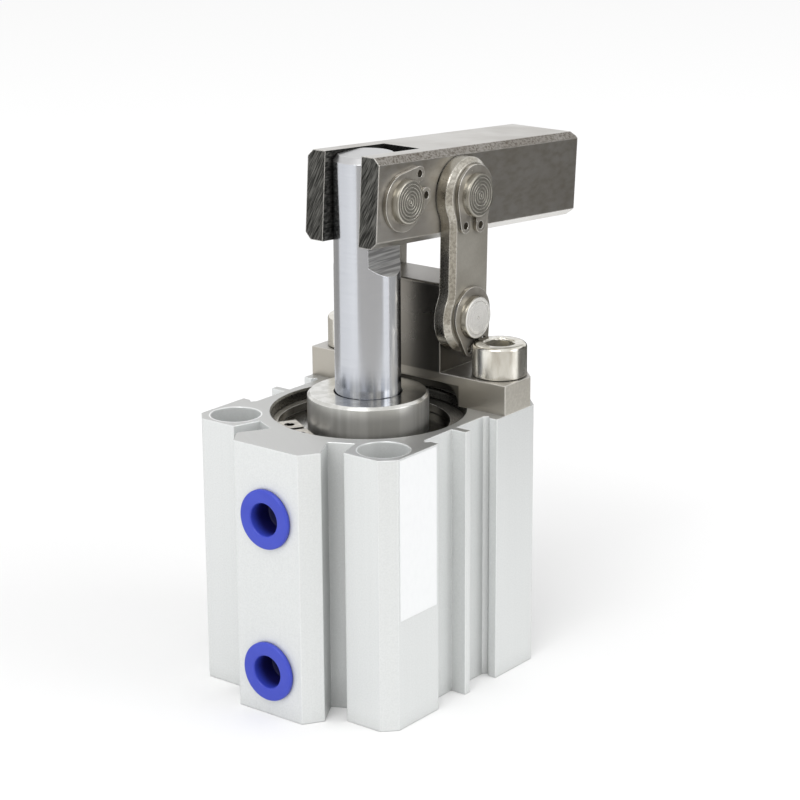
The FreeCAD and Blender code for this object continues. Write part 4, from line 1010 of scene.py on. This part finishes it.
def glossy_only(thing):
    """Lets a stage piece show in reflections alone."""
    for ray in ("camera", "diffuse", "transmission", "volume_scatter", "shadow"):
        setattr(thing, "visible_" + ray, False)


def stage_sheet(name, corners, material):
    """A flat stage piece with four corners."""
    mesh = bpy.data.meshes.new(name)
    mesh.from_pydata(corners, [], [(0, 1, 2, 3)])
    mesh.materials.append(material)
    thing = bpy.data.objects.new(name, mesh)
    bpy.context.scene.collection.objects.link(thing)
    return thing


def flag(name, bearing, distance, width, high, level):
    """An upright, warm grey card on the floor, which the polished metal reflects."""
    material = bpy.data.materials.new(name)
    f = cleared_nodes(material)
    glow = f.node("ShaderNodeEmission", None, {"Color": (level, level * 0.97, level * 0.92, 1.0)})
    f.node("ShaderNodeOutputMaterial", None, {"Surface": glow.outputs[0]})
    turn = math.radians(bearing)
    out = Vector((math.cos(turn), math.sin(turn), 0.0)) * distance * MM
    across = Vector((-math.sin(turn), math.cos(turn), 0.0)) * width / 2 * MM
    rise = Vector(UP) * high * MM
    corners = [out - across, out + across, out + across + rise, out - across + rise]
    glossy_only(stage_sheet(name, corners, material))


def area_lamp(name, place, target, size, watts):
    lamp = bpy.data.lights.new(name, "AREA")
    lamp.shape = "DISK"
    lamp.size = size
    lamp.energy = watts
    thing = bpy.data.objects.new(name, lamp)
    bpy.context.scene.collection.objects.link(thing)
    thing.location = place
    thing.rotation_euler = (Vector(target) - Vector(place)).to_track_quat("-Z", "Y").to_euler()


class CLAMP_OT_stage(bpy.types.Operator):
    """Sets up the floor, the soft studio light and the camera"""
    bl_idname = "clamp.stage"
    bl_label = "Set up the studio"

    def execute(self, context):
        sizes = settings().stage
        scene = context.scene
        scene.view_settings.view_transform = "Standard"

        # Backdrop: white to the camera and in reflections, softer as light
        world = bpy.data.worlds.new("studio")
        scene.world = world
        w = cleared_nodes(world)
        level = sizes.daylight + seen_rays(w) * (1.0 - sizes.daylight)
        backdrop = w.node("ShaderNodeBackground", None,
                          {"Color": (1.0, 1.0, 1.0, 1.0), "Strength": level})
        w.node("ShaderNodeOutputWorld", None, {"Surface": backdrop.outputs[0]})

        # Floor: a white sheet that keeps the object's shadow, and glows less near the object as a
        # painted shade
        material = bpy.data.materials.new("white_sheet")
        f = cleared_nodes(material)
        paper = f.node("ShaderNodeBsdfDiffuse", None, {"Color": (0.80, 0.80, 0.80, 1.0)})
        spot = f.node("ShaderNodeTexCoord").outputs["Object"]
        away = f.read("ShaderNodeVectorMath", {"operation": "LENGTH"}, {0: spot}, "Value")
        # Painted shade: the floor glows less near the object than far off
        lift = 0.10 + away.rise(0.04, 0.24) * 0.15
        glow = f.node("ShaderNodeEmission", None, {"Strength": seen_rays(f) * lift})
        both = f.node("ShaderNodeAddShader", None, {0: paper.outputs[0], 1: glow.outputs[0]})
        f.node("ShaderNodeOutputMaterial", None, {"Surface": both.outputs[0]})
        half = sizes.floor
        signs = ((-1, -1), (1, -1), (1, 1), (-1, 1))
        corners = [(x * half, y * half, -FLOOR_DROP) for x, y in signs]
        stage_sheet("floor_sheet", corners, material)

        # Cards: name, bearing in degrees, distance, width and height in millimetres, level
        flag("card_right", -38.0, 170.0, 150.0, 150.0, sizes.flag)
        flag("card_front", -130.0, 170.0, 330.0, 150.0, sizes.front_flag)
        flag("card_back", 14.0, 190.0, 220.0, 80.0, sizes.flag)
        flag("card_left", 84.0, 190.0, 190.0, 80.0, sizes.left_flag)

        # Lamps: name, place, target and diameter in metres, watts
        area_lamp("key_lamp", (-0.55, -0.15, 0.75), (0.0, 0.0, 0.05), 0.55, 3.2)
        area_lamp("fill_lamp", (0.25, -0.75, 0.45), (0.0, 0.0, 0.04), 0.6, 1.6)

        # Camera: the photograph's own view
        eye = bpy.data.cameras.new("camera")
        eye.sensor_width = 36.0
        eye.lens = sizes.lens
        eye.clip_start, eye.clip_end = 0.01, 50.0
        camera = bpy.data.objects.new("camera", eye)
        scene.collection.objects.link(camera)
        turn, lift, roll = (math.radians(a) for a in (EYE_TURN, EYE_LIFT, EYE_ROLL))
        back = Vector((math.sin(turn) * math.cos(lift), -math.cos(turn) * math.cos(lift),
                       math.sin(lift)))
        level_right = Vector((math.cos(turn), math.sin(turn), 0.0))
        level_up = back.cross(level_right)
        right = level_right * math.cos(roll) + level_up * math.sin(roll)
        up = level_up * math.cos(roll) - level_right * math.sin(roll)
        pose = Matrix((right, up, back)).transposed().to_4x4()
        pose.translation = Vector(EYE) * MM
        camera.matrix_world = pose
        scene.camera = camera
        return {"FINISHED"}


class CLAMP_PT_panel(bpy.types.Panel):
    """Lists the clamp's steps and settings"""
    bl_label = "Lever clamp cylinder"
    bl_idname = "CLAMP_PT_panel"
    bl_space_type = "VIEW_3D"
    bl_region_type = "UI"
    bl_category = "Clamp"

    def draw(self, context):
        for step in STEPS:
            self.layout.operator(step.bl_idname)
        for group in (settings().tints, settings().screws, settings().pins, settings().plugs,
                      settings().stage):
            box = self.layout.box()
            for prop in group.__annotations__:
                box.prop(group, prop)


STEPS = (CLAMP_OT_body, CLAMP_OT_rod, CLAMP_OT_linkage, CLAMP_OT_pins, CLAMP_OT_screws,
         CLAMP_OT_plugs, CLAMP_OT_label, CLAMP_OT_stage)
CLASSES = (ClampTints, ScrewSizes, PinSizes, PlugSizes, StageSizes, ClampSettings, *STEPS,
           CLAMP_PT_panel)


def register():
    for cls in CLASSES:
        bpy.utils.register_class(cls)
    bpy.types.Scene.clamp_settings = PointerProperty(
        type=ClampSettings, name="Clamp", description="Settings of the lever clamp cylinder")


def unregister():
    del bpy.types.Scene.clamp_settings
    for cls in reversed(CLASSES):
        bpy.utils.unregister_class(cls)


def main():
    register()
    for step in STEPS:
        group, name = step.bl_idname.split(".")
        getattr(getattr(bpy.ops, group), name)()


if __name__ == "__main__":
    main()
